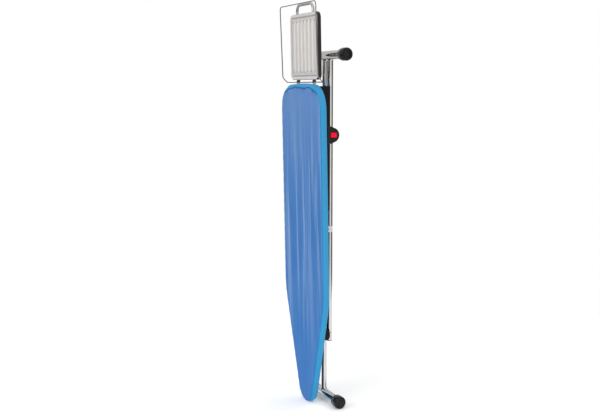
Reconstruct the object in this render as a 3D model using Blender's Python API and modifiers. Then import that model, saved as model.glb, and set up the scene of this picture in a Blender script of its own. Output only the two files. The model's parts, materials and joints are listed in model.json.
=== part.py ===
"""Folding ironing board, folded and standing on its nose.

World frame: +X is the board's width, +Y points from the ironing surface to the legs, +Z is up.
The origin is on the floor, in the middle of the object's box. Everything is in metres.
Depths called "depth" are measured along +Y from the plane DEPTH_ORIGIN, just in front of the board.
"""

import math

import bmesh
import bpy
from mathutils import Vector

# Board
BOARD_LENGTH = 1.205
BOARD_HALF_WIDTH = 0.180
NOSE_RADIUS = 0.064
FLANK_ANGLE = math.radians(17.9)
SHOULDER_RADIUS = 0.35
END_CORNER_RADIUS = 0.09
END_CROWN = 0.008
LEAN = math.radians(1.2)
NOSE_DEPTH = 0.021
DEPTH_ORIGIN = -0.0615
GAP = 0.0003

# Layers behind the ironing surface, in the board's own frame
COVER_WALL = 0.0015
COVER_DEPTH = 0.031
PAD_BACK = 0.0095
PANEL_BACK = 0.0110
RIM_RADIUS = 0.007
RIM_CENTRE = PANEL_BACK + GAP + RIM_RADIUS
RIM_BACK = RIM_CENTRE + RIM_RADIUS
BAR_HEIGHT = 0.022
BAR_SHEET = 0.0015
BAR_BACK = RIM_BACK - 0.0005
BAR_PLACES = (0.18, 0.285, 0.52, 0.76, 1.02, 1.12)

# Legs: the fold pivot, the crossing and the slider lie on one line when the board is folded
PIVOT_DEPTH = 0.0955
PIVOT_HEIGHT = 0.256
ARM = 0.407
CROSSING_HEIGHT = PIVOT_HEIGHT + ARM
SLIDER_HEIGHT = PIVOT_HEIGHT + 2 * ARM
LEG_RADIUS = 0.0105
LEG_WALL = 0.0012
OUTER_LEG_X = 0.023
OUTER_LEG_DEPTH = 0.1125
OUTER_LEG_END = 0.234
INNER_LEG_DEPTH = 0.1015
FOOT_RADIUS = 0.0165
FOOT_WALL = 0.0015
CAP_RADIUS = 0.0235
CAP_LENGTH = 0.038
OUTER_FOOT_HALF = 0.168
OUTER_FOOT_HEIGHT = 1.308
INNER_FOOT_HALF = 0.150
INNER_FOOT_HEIGHT = CAP_RADIUS
PIN_RADIUS = 0.0035
LUG_INSIDE = 0.0338
LUG_THICK = 0.003
CHEEK_INSIDE = 0.0374
CHEEK_THICK = 0.0025
BRACKET_START = 0.150
BRACKET_END = 0.305
BRACKET_STRAP = 0.010
BRACKET_BOSS = 0.0125

# Guide rails for the slider
RAIL_X = 0.046
RAIL_SHEET = 0.0015
RAIL_FLANGE = 0.0075
RAIL_FRONT = 0.064
RAIL_BOTTOM = 0.735
RAIL_TOP = 1.195
RAIL_GAP = 0.011
ROLLER_RADIUS = 0.005
STAND_SHEET = 0.0020
STAND_FOOT_X = 0.060
STAND_WALL_X = 0.0360
STAND_LIP_X = 0.0440
STAND_HALF_HEIGHT = 0.0105
RAIL_HOLES = 6
RAIL_HOLE_FIRST = 0.785
RAIL_HOLE_STEP = 0.052
RAIL_HOLE_TALL = 0.026

# Iron rest
REST_ROD_RADIUS = 0.005
REST_ROD_X = 0.073
REST_ROD_DEPTH = RIM_BACK + GAP + REST_ROD_RADIUS
REST_TOP = 1.490
REST_ROD_START = 1.128
TRAY_HALF_WIDTH = 0.1265
TRAY_BOTTOM = 1.2175
TRAY_TOP = 1.458
TRAY_FACE = 0.0215
TRAY_BACK = 0.0385
TRAY_SHEET = 0.001
BLOCK_HALF = 0.0068
WIRE_RADIUS = 0.002
WIRE_HALF_WIDTH = 0.166
WIRE_HINGE_DEPTH = 0.0228
WIRE_HINGE_PLACE = 1.2085

# Release button and its housing
HOUSING_FACE_X = 0.178
HOUSING_BACK_X = 0.150
HOUSING_HEIGHT = 1.022
HOUSING_FRONT = 0.0312
HOUSING_ROUND_DEPTH = 0.0525
HOUSING_ROUND = 0.0265
HOUSING_HALF_HEIGHT = 0.031
BUTTON_DEPTH = 0.0562
BUTTON_WIDTH = 0.0235
BUTTON_TALL = 0.018
BUTTON_FACE_X = 0.1805
BUTTON_BACK_X = 0.1680
POCKET_BACK_X = 0.1540
ROD_RADIUS = 0.002


def clear_scene():
    for obj in list(bpy.data.objects):
        bpy.data.objects.remove(obj, do_unlink=True)


def new_collection(name, hidden=False):
    made = bpy.data.collections.new(name)
    bpy.context.scene.collection.children.link(made)
    made.hide_render = hidden
    return made


def make_material(name, colour, roughness, metallic=0.0):
    made = bpy.data.materials.new(name)
    made.use_nodes = True
    shader = made.node_tree.nodes["Principled BSDF"]
    shader.inputs["Base Color"].default_value = (*colour, 1.0)
    shader.inputs["Roughness"].default_value = roughness
    shader.inputs["Metallic"].default_value = metallic
    return made


clear_scene()
PARTS = new_collection("ironing_board")
CUTTERS = new_collection("cutters", hidden=True)
CHROME = make_material("chrome", (0.80, 0.80, 0.79), 0.08, 1.0)
BLACK_STEEL = make_material("black_steel", (0.015, 0.015, 0.016), 0.35)
BLACK_PLASTIC = make_material("black_plastic", (0.020, 0.019, 0.019), 0.45)
RED_PLASTIC = make_material("red_plastic", (0.95, 0.01, 0.04), 0.30)
BLUE_COTTON = make_material("blue_cotton", (0.09, 0.24, 0.58), 0.85)
PAD_FELT = make_material("pad_felt", (0.72, 0.71, 0.66), 0.95)
TRAY_STEEL = make_material("tray_steel", (0.62, 0.60, 0.57), 0.40, 0.9)
SPRING_STEEL = make_material("spring_steel", (0.55, 0.55, 0.56), 0.30, 1.0)


def world_y(depth):
    return depth + DEPTH_ORIGIN


def in_board(depth, height):
    """Depth and height in the world as (depth, place) in the leaning board's frame."""
    back = depth - NOSE_DEPTH
    return (
        back * math.cos(LEAN) + height * math.sin(LEAN),
        height * math.cos(LEAN) - back * math.sin(LEAN),
    )


BOARD = bpy.data.objects.new("board_frame", None)
BOARD.location = (0, world_y(NOSE_DEPTH), 0)
BOARD.rotation_euler = (LEAN, 0, 0)
PARTS.objects.link(BOARD)


def place(obj, parent=None, location=None, rotation=None):
    """Moves obj, and hangs it from parent with its location in the parent's frame."""
    if location is not None:
        obj.location = location
    if rotation is not None:
        obj.rotation_euler = rotation
    obj.parent = parent
    return obj


def link(name, data, material=None, collection=PARTS):
    obj = bpy.data.objects.new(name, data)
    collection.objects.link(obj)
    if material:
        data.materials.append(material)
    if collection is CUTTERS:
        obj.hide_render = True
        obj.display_type = "WIRE"
    return obj


def curve_to_mesh(curve):
    """A mesh object of the same name, place and parent, its caps welded, in place of the curve."""
    graph = bpy.context.evaluated_depsgraph_get()
    mesh = bpy.data.meshes.new_from_object(curve.evaluated_get(graph))
    work = bmesh.new()
    work.from_mesh(mesh)
    bmesh.ops.remove_doubles(work, verts=work.verts, dist=1e-6)
    work.to_mesh(mesh)
    work.free()
    name = curve.name
    collection = curve.users_collection[0]
    location, rotation, parent = curve.location.copy(), curve.rotation_euler.copy(), curve.parent
    bpy.data.objects.remove(curve, do_unlink=True)
    made = link(name, mesh, collection=collection)
    return place(made, parent, location, rotation)


def box(name, low, high, material=None, parent=None, collection=PARTS, bevel=0.0):
    work = bmesh.new()
    bmesh.ops.create_cube(work, size=1.0)
    size = [h - l for l, h in zip(low, high)]
    bmesh.ops.scale(work, vec=size, verts=work.verts)
    mesh = bpy.data.meshes.new(name)
    work.to_mesh(mesh)
    work.free()
    obj = link(name, mesh, material, collection)
    if bevel:
        add_bevel(obj, bevel)
    return place(obj, parent, [(h + l) / 2 for l, h in zip(low, high)])


def add_bevel(obj, width, segments=2):
    bevel = obj.modifiers.new("round_edges", "BEVEL")
    bevel.width = width
    bevel.segments = segments
    bevel.limit_method = "ANGLE"
    bevel.angle_limit = math.radians(40)


def turned(name, profile, material=None, steps=24, collection=PARTS):
    """A solid of revolution about local Z. The profile is (radius, height) pairs down its outer side."""
    mesh = bpy.data.meshes.new(name)
    points = [(radius, 0, height) for radius, height in profile]
    closed = profile[0][0] > 0 and profile[-1][0] > 0
    edges = [(i, i + 1) for i in range(len(points) - 1)]
    if closed:
        edges.append((len(points) - 1, 0))
    mesh.from_pydata(points, edges, [])
    obj = link(name, mesh, material, collection)
    screw = obj.modifiers.new("turn", "SCREW")
    screw.axis = "Z"
    screw.steps = steps
    screw.render_steps = steps
    screw.use_merge_vertices = True
    screw.merge_threshold = 1e-5
    screw.use_smooth_shade = True
    return obj


def along_x(obj, x, depth, height, parent=None):
    """Lays a turned piece along X, its local +Z on world +X, with its origin at that point."""
    y = depth if parent else world_y(depth)
    return place(obj, parent, (x, y, height), (0, math.pi / 2, 0))


def tube(name, length, radius, wall, material, steps=24):
    """A straight open tube from local z 0 to length."""
    profile = [(radius, length), (radius, 0), (radius - wall, 0), (radius - wall, length)]
    return turned(name, profile, material, steps)


def rod(name, length, radius, material=None, steps=16, collection=PARTS):
    return turned(name, [(0, length), (radius, length), (radius, 0), (0, 0)], material, steps, collection)


def cut(obj, cutter):
    step = obj.modifiers.new("cut_" + cutter.name, "BOOLEAN")
    step.operation = "DIFFERENCE"
    step.solver = "EXACT"
    step.object = cutter


def fillet(before, corner, after, radius, steps):
    """Points of the arc that rounds one corner of a polygon."""
    corner = Vector(corner)
    to_before = (Vector(before) - corner).normalized()
    to_after = (Vector(after) - corner).normalized()
    half = to_before.angle(to_after) / 2
    reach = radius / math.tan(half)
    middle = (to_before + to_after).normalized()
    centre = corner + middle * (radius / math.sin(half))
    start = corner + to_before * reach - centre
    sweep = math.pi - 2 * half
    sign = 1 if to_before.cross(to_after) < 0 else -1
    points = []
    for i in range(steps + 1):
        angle = sign * sweep * i / steps
        turn_x = start.x * math.cos(angle) - start.y * math.sin(angle)
        turn_y = start.x * math.sin(angle) + start.y * math.cos(angle)
        points.append((centre.x + turn_x, centre.y + turn_y))
    return points


def rounded(corners):
    """An outline from (x, y, radius, steps) corners, in order round the shape."""
    points = []
    for i, (x, y, radius, steps) in enumerate(corners):
        if radius:
            before = corners[i - 1][:2]
            after = corners[(i + 1) % len(corners)][:2]
            points += fillet(before, (x, y), after, radius, steps)
        else:
            points.append((x, y))
    return points


def without_doubles(points):
    kept = []
    for point in points:
        if not kept or (Vector(point) - Vector(kept[-1])).length > 1e-5:
            kept.append(point)
    return kept[:-1] if (Vector(kept[0]) - Vector(kept[-1])).length < 1e-5 else kept


def board_outline():
    """The board's plan, anticlockwise from the nose, as (x, place along the board)."""
    nose = NOSE_RADIUS / math.tan((math.pi / 2 + FLANK_ANGLE) / 2)
    shoulder = (BOARD_HALF_WIDTH - nose) / math.tan(FLANK_ANGLE)
    corner = BOARD_LENGTH - END_CROWN
    right = [
        (nose, 0, NOSE_RADIUS, 12),
        (BOARD_HALF_WIDTH, shoulder, SHOULDER_RADIUS, 5),
        (BOARD_HALF_WIDTH, corner, END_CORNER_RADIUS, 10),
    ]
    left = [(-x, y, radius, steps) for x, y, radius, steps in reversed(right)]
    return without_doubles(rounded([*right, (0, BOARD_LENGTH, 1.2, 4), *left]))


def inset(points, distance):
    """The outline moved inwards by that distance, for an anticlockwise outline."""
    moved = []
    for i, point in enumerate(points):
        before = Vector(points[i - 1])
        after = Vector(points[(i + 1) % len(points)])
        here = Vector(point)
        first = (here - before).normalized()
        second = (after - here).normalized()
        normal = (Vector((-first.y, first.x)) + Vector((-second.y, second.x))).normalized()
        stretch = normal.dot(Vector((-first.y, first.x)))
        moved.append(tuple(here + normal * distance / stretch))
    return moved


def flat_curve(name, outline, thickness, collection=PARTS):
    curve = bpy.data.curves.new(name, "CURVE")
    curve.dimensions = "2D"
    curve.fill_mode = "BOTH"
    curve.extrude = thickness / 2
    spline = curve.splines.new("POLY")
    spline.points.add(len(outline) - 1)
    for spot, (x, y) in zip(spline.points, outline):
        spot.co = (x, y, 0, 1)
    spline.use_cyclic_u = True
    return link(name, curve, collection=collection)


def slab(name, outline, front, back, material=None, parent=BOARD, collection=PARTS):
    """A flat piece facing -Y: the outline's (x, place), from depth front to back."""
    curve = flat_curve(name, outline, back - front, collection)
    place(curve, parent, (0, (front + back) / 2, 0), (math.pi / 2, 0, 0))
    made = curve_to_mesh(curve)
    if material:
        made.data.materials.append(material)
    return made


def side_plate(name, outline, inner_x, outer_x, material=None, parent=None, collection=PARTS):
    """A flat piece facing +X: the outline's (depth, height), from inner_x to outer_x."""
    if parent is None:
        outline = [(world_y(depth), height) for depth, height in outline]
    curve = flat_curve(name, outline, abs(outer_x - inner_x), collection)
    turn = (math.pi / 2, 0, math.pi / 2)
    place(curve, parent, ((inner_x + outer_x) / 2, 0, 0), turn)
    made = curve_to_mesh(curve)
    if material:
        made.data.materials.append(material)
    return made


def profile_bar(name, outline, bottom, top, material):
    """A bar along Z with that (x, depth) section."""
    outline = [(x, world_y(depth)) for x, depth in outline]
    curve = flat_curve(name, outline, top - bottom)
    place(curve, None, (0, 0, (bottom + top) / 2))
    made = curve_to_mesh(curve)
    made.data.materials.append(material)
    return made


def wire(name, points, radius, material, parent=None, cyclic=False, resolution=2):
    """A round bar along straight stretches between points."""
    curve = bpy.data.curves.new(name, "CURVE")
    curve.dimensions = "3D"
    curve.bevel_depth = radius
    curve.bevel_resolution = resolution
    curve.use_fill_caps = not cyclic
    spline = curve.splines.new("POLY")
    spline.points.add(len(points) - 1)
    for spot, point in zip(spline.points, points):
        spot.co = (*point, 1)
    spline.use_cyclic_u = cyclic
    obj = link(name, curve, material)
    return place(obj, parent)


def smooth(obj):
    if obj.type == "MESH":
        obj.data.shade_smooth()
        obj.data.set_sharp_from_angle(angle=math.radians(35))


def sides():
    return (("right", 1), ("left", -1))


def build_board():
    outline = board_outline()
    cover = slab("cover", outline, 0, COVER_DEPTH, BLUE_COTTON)
    hollow = inset(outline, COVER_WALL)
    cut(cover, slab("cover_hollow", hollow, COVER_WALL, COVER_DEPTH + 0.02, collection=CUTTERS))
    for side, sign in sides():
        slit = rod("cover_slit_" + side, 0.08, REST_ROD_RADIUS + 0.0008, steps=16, collection=CUTTERS)
        place(slit, BOARD, (sign * REST_ROD_X, REST_ROD_DEPTH, BOARD_LENGTH - 0.04))
        cut(cover, slit)
    slab("pad", inset(outline, COVER_WALL + 0.0007), COVER_WALL + GAP, PAD_BACK, PAD_FELT)
    slab("deck_panel", inset(outline, 0.006), PAD_BACK + GAP, PANEL_BACK, BLACK_STEEL)
    path = inset(outline, COVER_WALL + 0.0010 + RIM_RADIUS)
    rim = [(x, RIM_CENTRE, along) for x, along in path]
    wire("rim_tube", rim, RIM_RADIUS, BLACK_STEEL, BOARD, cyclic=True)
    build_deck_bars()


def half_width_at(along):
    """The board's half width at that place between the nose arc and the end's corners."""
    nose = NOSE_RADIUS / math.tan((math.pi / 2 + FLANK_ANGLE) / 2)
    return min(BOARD_HALF_WIDTH, nose + along * math.tan(FLANK_ANGLE))


def build_deck_bars():
    for number, along in enumerate(BAR_PLACES, start=1):
        reach = half_width_at(along - BAR_HEIGHT) - COVER_WALL - 2 * RIM_RADIUS - 0.004
        low = (-reach, PANEL_BACK + GAP, along - BAR_HEIGHT / 2)
        high = (reach, BAR_BACK, along + BAR_HEIGHT / 2)
        bar = box(f"deck_bar_{number}", low, high, BLACK_STEEL, BOARD, bevel=0.002)
        trough = box(
            f"deck_bar_trough_{number}",
            (-reach - 0.01, PANEL_BACK - 0.01, low[2] + BAR_SHEET),
            (reach + 0.01, BAR_BACK - BAR_SHEET, high[2] - BAR_SHEET),
            parent=BOARD,
            collection=CUTTERS,
        )
        cut(bar, trough)


def build_nose_bracket():
    pivot_depth, pivot_place = in_board(PIVOT_DEPTH, PIVOT_HEIGHT)
    front = RIM_BACK
    corners = [
        (front, BRACKET_START, 0, 0),
        (front + BRACKET_STRAP, BRACKET_START, 0.004, 3),
        (front + BRACKET_STRAP, pivot_place - 0.026, 0.010, 4),
        (pivot_depth + BRACKET_BOSS, pivot_place - 1.1 * BRACKET_BOSS, BRACKET_BOSS, 6),
        (pivot_depth + BRACKET_BOSS, pivot_place + BRACKET_BOSS, BRACKET_BOSS, 6),
        (front + 0.030, BRACKET_END, 0.010, 4),
        (front, BRACKET_END, 0, 0),
    ]
    outer = CHEEK_INSIDE + CHEEK_THICK
    bracket = side_plate("nose_bracket", rounded(corners), -outer, outer, BLACK_STEEL, BOARD)
    channel = box(
        "nose_bracket_channel",
        (-CHEEK_INSIDE, front + CHEEK_THICK, 0.10),
        (CHEEK_INSIDE, 0.15, 0.40),
        parent=BOARD,
        collection=CUTTERS,
    )
    cut(bracket, channel)
    hole = rod("nose_bracket_hole", 0.2, PIN_RADIUS + 0.0005, steps=24, collection=CUTTERS)
    along_x(hole, -0.1, pivot_depth, pivot_place, BOARD)
    cut(bracket, hole)
    head_start = CHEEK_INSIDE + CHEEK_THICK + GAP
    for side, sign in sides():
        profile = [
            (0, head_start + 0.0026),
            (0.0045, head_start + 0.0024),
            (0.0075, head_start + 0.0006),
            (0.0075, head_start),
            (PIN_RADIUS, head_start),
            (PIN_RADIUS, LUG_INSIDE - GAP),
            (0.0060, LUG_INSIDE - GAP),
            (0.0060, LUG_INSIDE - 0.0018),
            (0, LUG_INSIDE - 0.0018),
        ]
        rivet = turned("pivot_rivet_" + side, profile, BLACK_STEEL)
        lay_sideways(rivet, sign, PIVOT_DEPTH, PIVOT_HEIGHT)
        smooth(rivet)


def lay_sideways(obj, sign, depth, height):
    """Lays a turned piece along X, its local z 0 on the middle plane, pointing to that side."""
    place(obj, None, (0, world_y(depth), height), (0, sign * math.pi / 2, 0))


def build_guide_rails():
    """Two E-section rails: a mounting flange, and two flanges that hold the slider's rollers."""
    slot_front = PIVOT_DEPTH - RAIL_GAP / 2
    slot_back = PIVOT_DEPTH + RAIL_GAP / 2
    outer, web, lip = RAIL_X, RAIL_X - RAIL_SHEET, RAIL_X - RAIL_FLANGE
    section = [
        (outer, RAIL_FRONT),
        (outer, slot_back + RAIL_SHEET),
        (lip, slot_back + RAIL_SHEET),
        (lip, slot_back),
        (web, slot_back),
        (web, slot_front),
        (lip, slot_front),
        (lip, slot_front - RAIL_SHEET),
        (web, slot_front - RAIL_SHEET),
        (web, RAIL_FRONT + RAIL_SHEET),
        (lip - 0.006, RAIL_FRONT + RAIL_SHEET),
        (lip - 0.006, RAIL_FRONT),
    ]
    for side, sign in sides():
        outline = [(sign * x, depth) for x, depth in section]
        rail = profile_bar("guide_rail_" + side, outline, RAIL_BOTTOM, RAIL_TOP, BLACK_STEEL)
        for number in range(RAIL_HOLES):
            height = RAIL_HOLE_FIRST + RAIL_HOLE_STEP * number
            notch = box(
                f"rail_hole_{side}_{number}",
                (sign * outer - 0.004, world_y(0.071), height),
                (sign * outer + 0.004, world_y(0.081), height + RAIL_HOLE_TALL),
                collection=CUTTERS,
            )
            cut(rail, notch)


def build_rail_stands():
    """Hat-section stands between the deck bars and the rails."""
    for number, along in ((1, BAR_PLACES[3]), (2, BAR_PLACES[5])):
        height = along * math.cos(LEAN) + RIM_BACK * math.sin(LEAN)
        lean_shift = STAND_HALF_HEIGHT * math.sin(LEAN)
        front = NOSE_DEPTH + RIM_BACK * math.cos(LEAN) - along * math.sin(LEAN) + lean_shift + GAP
        back = RAIL_FRONT - GAP
        half = [
            (STAND_FOOT_X, front),
            (STAND_FOOT_X, front + STAND_SHEET),
            (STAND_WALL_X, front + STAND_SHEET),
            (STAND_WALL_X, back - STAND_SHEET),
            (STAND_LIP_X, back - STAND_SHEET),
            (STAND_LIP_X, back),
            (STAND_WALL_X - 2 * STAND_SHEET, back),
            (STAND_WALL_X - 2 * STAND_SHEET, front + 2 * STAND_SHEET),
        ]
        outline = half + [(-x, depth) for x, depth in reversed(half)]
        bottom, top = height - STAND_HALF_HEIGHT, height + STAND_HALF_HEIGHT
        profile_bar(f"rail_stand_{number}", outline, bottom, top, BLACK_STEEL)


def build_iron_rest():
    bend = 0.022
    corners = [
        (-REST_ROD_X, REST_ROD_START, 0, 0),
        (-REST_ROD_X, REST_TOP, bend, 6),
        (REST_ROD_X, REST_TOP, bend, 6),
        (REST_ROD_X, REST_ROD_START, 0, 0),
    ]
    route = [(x, REST_ROD_DEPTH, along) for x, along in rounded(corners)]
    wire("rest_u_rod", route, REST_ROD_RADIUS, CHROME, BOARD, resolution=2)
    build_rest_tray()
    for side, sign in sides():
        clamp = box(
            "rest_clamp_" + side,
            (sign * REST_ROD_X - 0.013, RIM_BACK, 1.112),
            (sign * REST_ROD_X + 0.013, REST_ROD_DEPTH + 0.0085, 1.150),
            BLACK_PLASTIC,
            BOARD,
            bevel=0.002,
        )
        groove = rod("clamp_groove_" + side, 0.05, REST_ROD_RADIUS + GAP, steps=16, collection=CUTTERS)
        place(groove, BOARD, (sign * REST_ROD_X, REST_ROD_DEPTH, REST_ROD_START - GAP))
        cut(clamp, groove)
        slot = box(
            "clamp_slot_" + side,
            (sign * REST_ROD_X - REST_ROD_RADIUS - GAP, RIM_BACK - 0.01, REST_ROD_START - GAP),
            (sign * REST_ROD_X + REST_ROD_RADIUS + GAP, REST_ROD_DEPTH, 1.2),
            parent=BOARD,
            collection=CUTTERS,
        )
        cut(clamp, slot)
        build_rest_block(side, sign)
    build_linen_rail()


def build_rest_block(side, sign):
    """The black block that holds a rod of the rest and the hinge wire of the linen rail."""
    block = box(
        "rest_block_" + side,
        (sign * REST_ROD_X - BLOCK_HALF, WIRE_HINGE_DEPTH - 0.0038, BOARD_LENGTH + 0.0010),
        (sign * REST_ROD_X + BLOCK_HALF, REST_ROD_DEPTH + BLOCK_HALF, TRAY_BOTTOM - 0.0008),
        BLACK_PLASTIC,
        BOARD,
    )
    bore = rod("block_bore_" + side, 0.05, REST_ROD_RADIUS + GAP, steps=24, collection=CUTTERS)
    place(bore, BOARD, (sign * REST_ROD_X, REST_ROD_DEPTH, BOARD_LENGTH - 0.02))
    cut(block, bore)
    hole = rod("block_wire_hole_" + side, 0.05, WIRE_RADIUS + 0.0004, steps=24, collection=CUTTERS)
    along_x(hole, sign * REST_ROD_X - 0.025, WIRE_HINGE_DEPTH, WIRE_HINGE_PLACE, BOARD)
    cut(block, hole)


def rounded_rectangle(half_width, bottom, top, radius, steps=5):
    return rounded(
        [
            (half_width, bottom, radius, steps),
            (half_width, top, radius, steps),
            (-half_width, top, radius, steps),
            (-half_width, bottom, radius, steps),
        ]
    )


def build_rest_tray():
    outline = rounded_rectangle(TRAY_HALF_WIDTH, TRAY_BOTTOM, TRAY_TOP, 0.022)
    tray = slab("rest_tray", outline, TRAY_FACE, TRAY_BACK, TRAY_STEEL)
    pocket = rounded_rectangle(
        TRAY_HALF_WIDTH - TRAY_SHEET, TRAY_BOTTOM + TRAY_SHEET, TRAY_TOP - TRAY_SHEET, 0.021
    )
    back = TRAY_BACK + 0.01
    cut(tray, slab("tray_pocket", pocket, TRAY_FACE + TRAY_SHEET, back, collection=CUTTERS))
    for side, sign in sides():
        notch = box(
            "tray_notch_" + side,
            (sign * REST_ROD_X - 0.0058, REST_ROD_DEPTH - 0.0058, TRAY_BOTTOM - 0.01),
            (sign * REST_ROD_X + 0.0058, back, TRAY_TOP + 0.01),
            parent=BOARD,
            collection=CUTTERS,
        )
        cut(tray, notch)


def build_linen_rail():
    """A closed wire loop. Its lowest wire is its hinge, held by the two blocks on the rest."""
    low = WIRE_HINGE_PLACE
    corners = [
        (-WIRE_HALF_WIDTH, low, 0.005, 3),
        (-WIRE_HALF_WIDTH, REST_TOP + 0.001, 0.014, 5),
        (WIRE_HALF_WIDTH, REST_TOP + 0.001, 0.014, 5),
        (WIRE_HALF_WIDTH, low, 0.005, 3),
    ]
    kink = 0.018
    route = []
    for x, along in rounded(corners):
        rise = min(along - low, kink)
        depth = WIRE_HINGE_DEPTH - rise - 0.0055 * max(0.0, along - low - kink) / (REST_TOP - low)
        route.append((x, depth, along))
    route = add_kink_points(route, low + kink)
    pivot = bpy.data.objects.new("linen_rail_hinge", None)
    PARTS.objects.link(pivot)
    place(pivot, BOARD, (0, WIRE_HINGE_DEPTH, low))
    shifted = [(x, depth - WIRE_HINGE_DEPTH, along - low) for x, depth, along in route]
    wire("linen_rail", shifted, WIRE_RADIUS, CHROME, pivot, cyclic=True, resolution=2)


def add_kink_points(route, place_of_kink):
    """The route with a point where each upright bends back towards the hinge."""
    made = []
    for i, point in enumerate(route):
        made.append(point)
        after = route[(i + 1) % len(route)]
        crosses = (point[2] - place_of_kink) * (after[2] - place_of_kink) < 0
        if crosses:
            made.append((point[0], WIRE_HINGE_DEPTH - 0.018, place_of_kink))
    return made


def build_release():
    height = HOUSING_HEIGHT
    arc_start = math.radians(75)
    arc = []
    for i in range(13):
        angle = -arc_start + 2 * arc_start * i / 12
        depth = HOUSING_ROUND_DEPTH + HOUSING_ROUND * math.cos(angle)
        arc.append((depth, height + HOUSING_ROUND * math.sin(angle)))
    outline = [
        (HOUSING_FRONT, height + HOUSING_HALF_HEIGHT - 0.002),
        (HOUSING_FRONT, height - HOUSING_HALF_HEIGHT + 0.002),
        (HOUSING_FRONT + 0.002, height - HOUSING_HALF_HEIGHT),
        (HOUSING_ROUND_DEPTH - 0.003, height - HOUSING_HALF_HEIGHT),
        *arc,
        (HOUSING_ROUND_DEPTH - 0.003, height + HOUSING_HALF_HEIGHT),
        (HOUSING_FRONT + 0.002, height + HOUSING_HALF_HEIGHT),
    ]
    housing = side_plate(
        "release_housing", outline, HOUSING_BACK_X, HOUSING_FACE_X, BLACK_PLASTIC
    )
    play = 0.0004
    half_wide = BUTTON_WIDTH / 2
    half_tall = BUTTON_TALL / 2
    y = world_y(BUTTON_DEPTH)
    pocket = box(
        "button_pocket",
        (POCKET_BACK_X, y - half_wide - play, height - half_tall - play),
        (HOUSING_FACE_X + 0.01, y + half_wide + play, height + half_tall + play),
        collection=CUTTERS,
    )
    cut(housing, pocket)
    rod_hole = rod("release_rod_hole", 0.02, ROD_RADIUS + 0.0005, steps=16, collection=CUTTERS)
    along_x(rod_hole, HOUSING_BACK_X - 0.01, BUTTON_DEPTH, height)
    cut(housing, rod_hole)
    travel = bpy.data.objects.new("release_button_slide", None)
    PARTS.objects.link(travel)
    place(travel, None, (BUTTON_FACE_X, y, height))
    box(
        "release_button",
        (BUTTON_BACK_X - BUTTON_FACE_X, -half_wide, -half_tall),
        (0, half_wide, half_tall),
        RED_PLASTIC,
        travel,
        bevel=0.0012,
    )
    rod_start = RAIL_X + 0.0045
    release_rod = rod("release_rod", BUTTON_BACK_X - GAP - rod_start, ROD_RADIUS, CHROME)
    place(release_rod, travel, (rod_start - BUTTON_FACE_X, 0, 0), (0, math.pi / 2, 0))
    build_spring(y, height)
    build_latch_case()
    box(
        "housing_bracket",
        (0.100, world_y(0.0352), height - 0.018),
        (HOUSING_BACK_X - GAP, world_y(0.0382), height + 0.018),
        BLACK_STEEL,
        bevel=0.001,
    )


def build_spring(y, height):
    """The return spring behind the button, a coil whose outer shape is open along its middle."""
    turns = 4
    points = []
    per_turn = 10
    start_x = POCKET_BACK_X + 0.0012
    run = BUTTON_BACK_X - 0.0012 - start_x
    for i in range(turns * per_turn + 1):
        angle = 2 * math.pi * i / per_turn
        x = start_x + run * i / (turns * per_turn)
        points.append((x, y + 0.0045 * math.cos(angle), height + 0.0045 * math.sin(angle)))
    wire("button_spring", points, 0.0005, SPRING_STEEL, resolution=0)


def build_latch_case():
    """The small case on the rail that the release rod runs into."""
    case = box(
        "latch_case",
        (0.020, world_y(0.0475), HOUSING_HEIGHT - 0.016),
        (RAIL_X + 0.008, world_y(RAIL_FRONT - GAP), HOUSING_HEIGHT + 0.016),
        BLACK_PLASTIC,
        bevel=0.0015,
    )
    socket = rod("latch_socket", 0.03, ROD_RADIUS + 0.0005, steps=16, collection=CUTTERS)
    along_x(socket, RAIL_X + 0.0045 - 0.0070, BUTTON_DEPTH, HOUSING_HEIGHT)
    cut(case, socket)


def coped_leg(name, x, depth, bottom, top, foot_height):
    """An upright leg tube, cut round where it meets its foot tube."""
    leg = tube(name, top - bottom, LEG_RADIUS, LEG_WALL, CHROME)
    place(leg, None, (x, world_y(depth), bottom))
    cope = rod(name + "_cope", 0.1, FOOT_RADIUS + GAP, steps=48, collection=CUTTERS)
    along_x(cope, x - 0.05, depth, foot_height)
    cut(leg, cope)
    return leg


def foot_tube(name, half, depth, height):
    inside = half - 0.0065
    foot = tube(name, 2 * inside, FOOT_RADIUS, FOOT_WALL, CHROME, steps=32)
    along_x(foot, -inside, depth, height)
    smooth(foot)


def foot_caps(name, half, depth, height):
    """Cups over the foot tube's ends, with a broad round edge and a flat end."""
    for side, sign in sides():
        inner = half - CAP_LENGTH
        profile = [(0, half), (CAP_RADIUS - 0.008, half)]
        for i in range(1, 6):
            angle = math.pi / 2 * (1 - i / 5)
            profile.append((CAP_RADIUS - 0.008 + 0.008 * math.cos(angle), half - 0.008 + 0.008 * math.sin(angle)))
        profile += [
            (CAP_RADIUS, inner + 0.002),
            (CAP_RADIUS - 0.002, inner),
            (FOOT_RADIUS + GAP, inner),
            (FOOT_RADIUS + GAP, half - 0.006),
            (0, half - 0.006),
        ]
        cap = turned(f"{name}_{side}", profile, BLACK_PLASTIC, steps=28)
        lay_sideways(cap, sign, depth, height)


def lug(name, sign, height, half_height):
    corners = [
        (PIVOT_DEPTH - 0.0095, height - half_height, 0.0090, 5),
        (OUTER_LEG_DEPTH + 0.006, height - half_height, 0.003, 2),
        (OUTER_LEG_DEPTH + 0.006, height + half_height, 0.003, 2),
        (PIVOT_DEPTH - 0.0095, height + half_height, 0.0090, 5),
    ]
    plate = side_plate(name, rounded(corners), sign * LUG_INSIDE, sign * (LUG_INSIDE + LUG_THICK), CHROME)
    hole = rod(name + "_hole", 0.02, PIN_RADIUS + 0.0002, steps=32, collection=CUTTERS)
    along_x(hole, sign * LUG_INSIDE - 0.01, PIVOT_DEPTH, height)
    cut(plate, hole)


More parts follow.
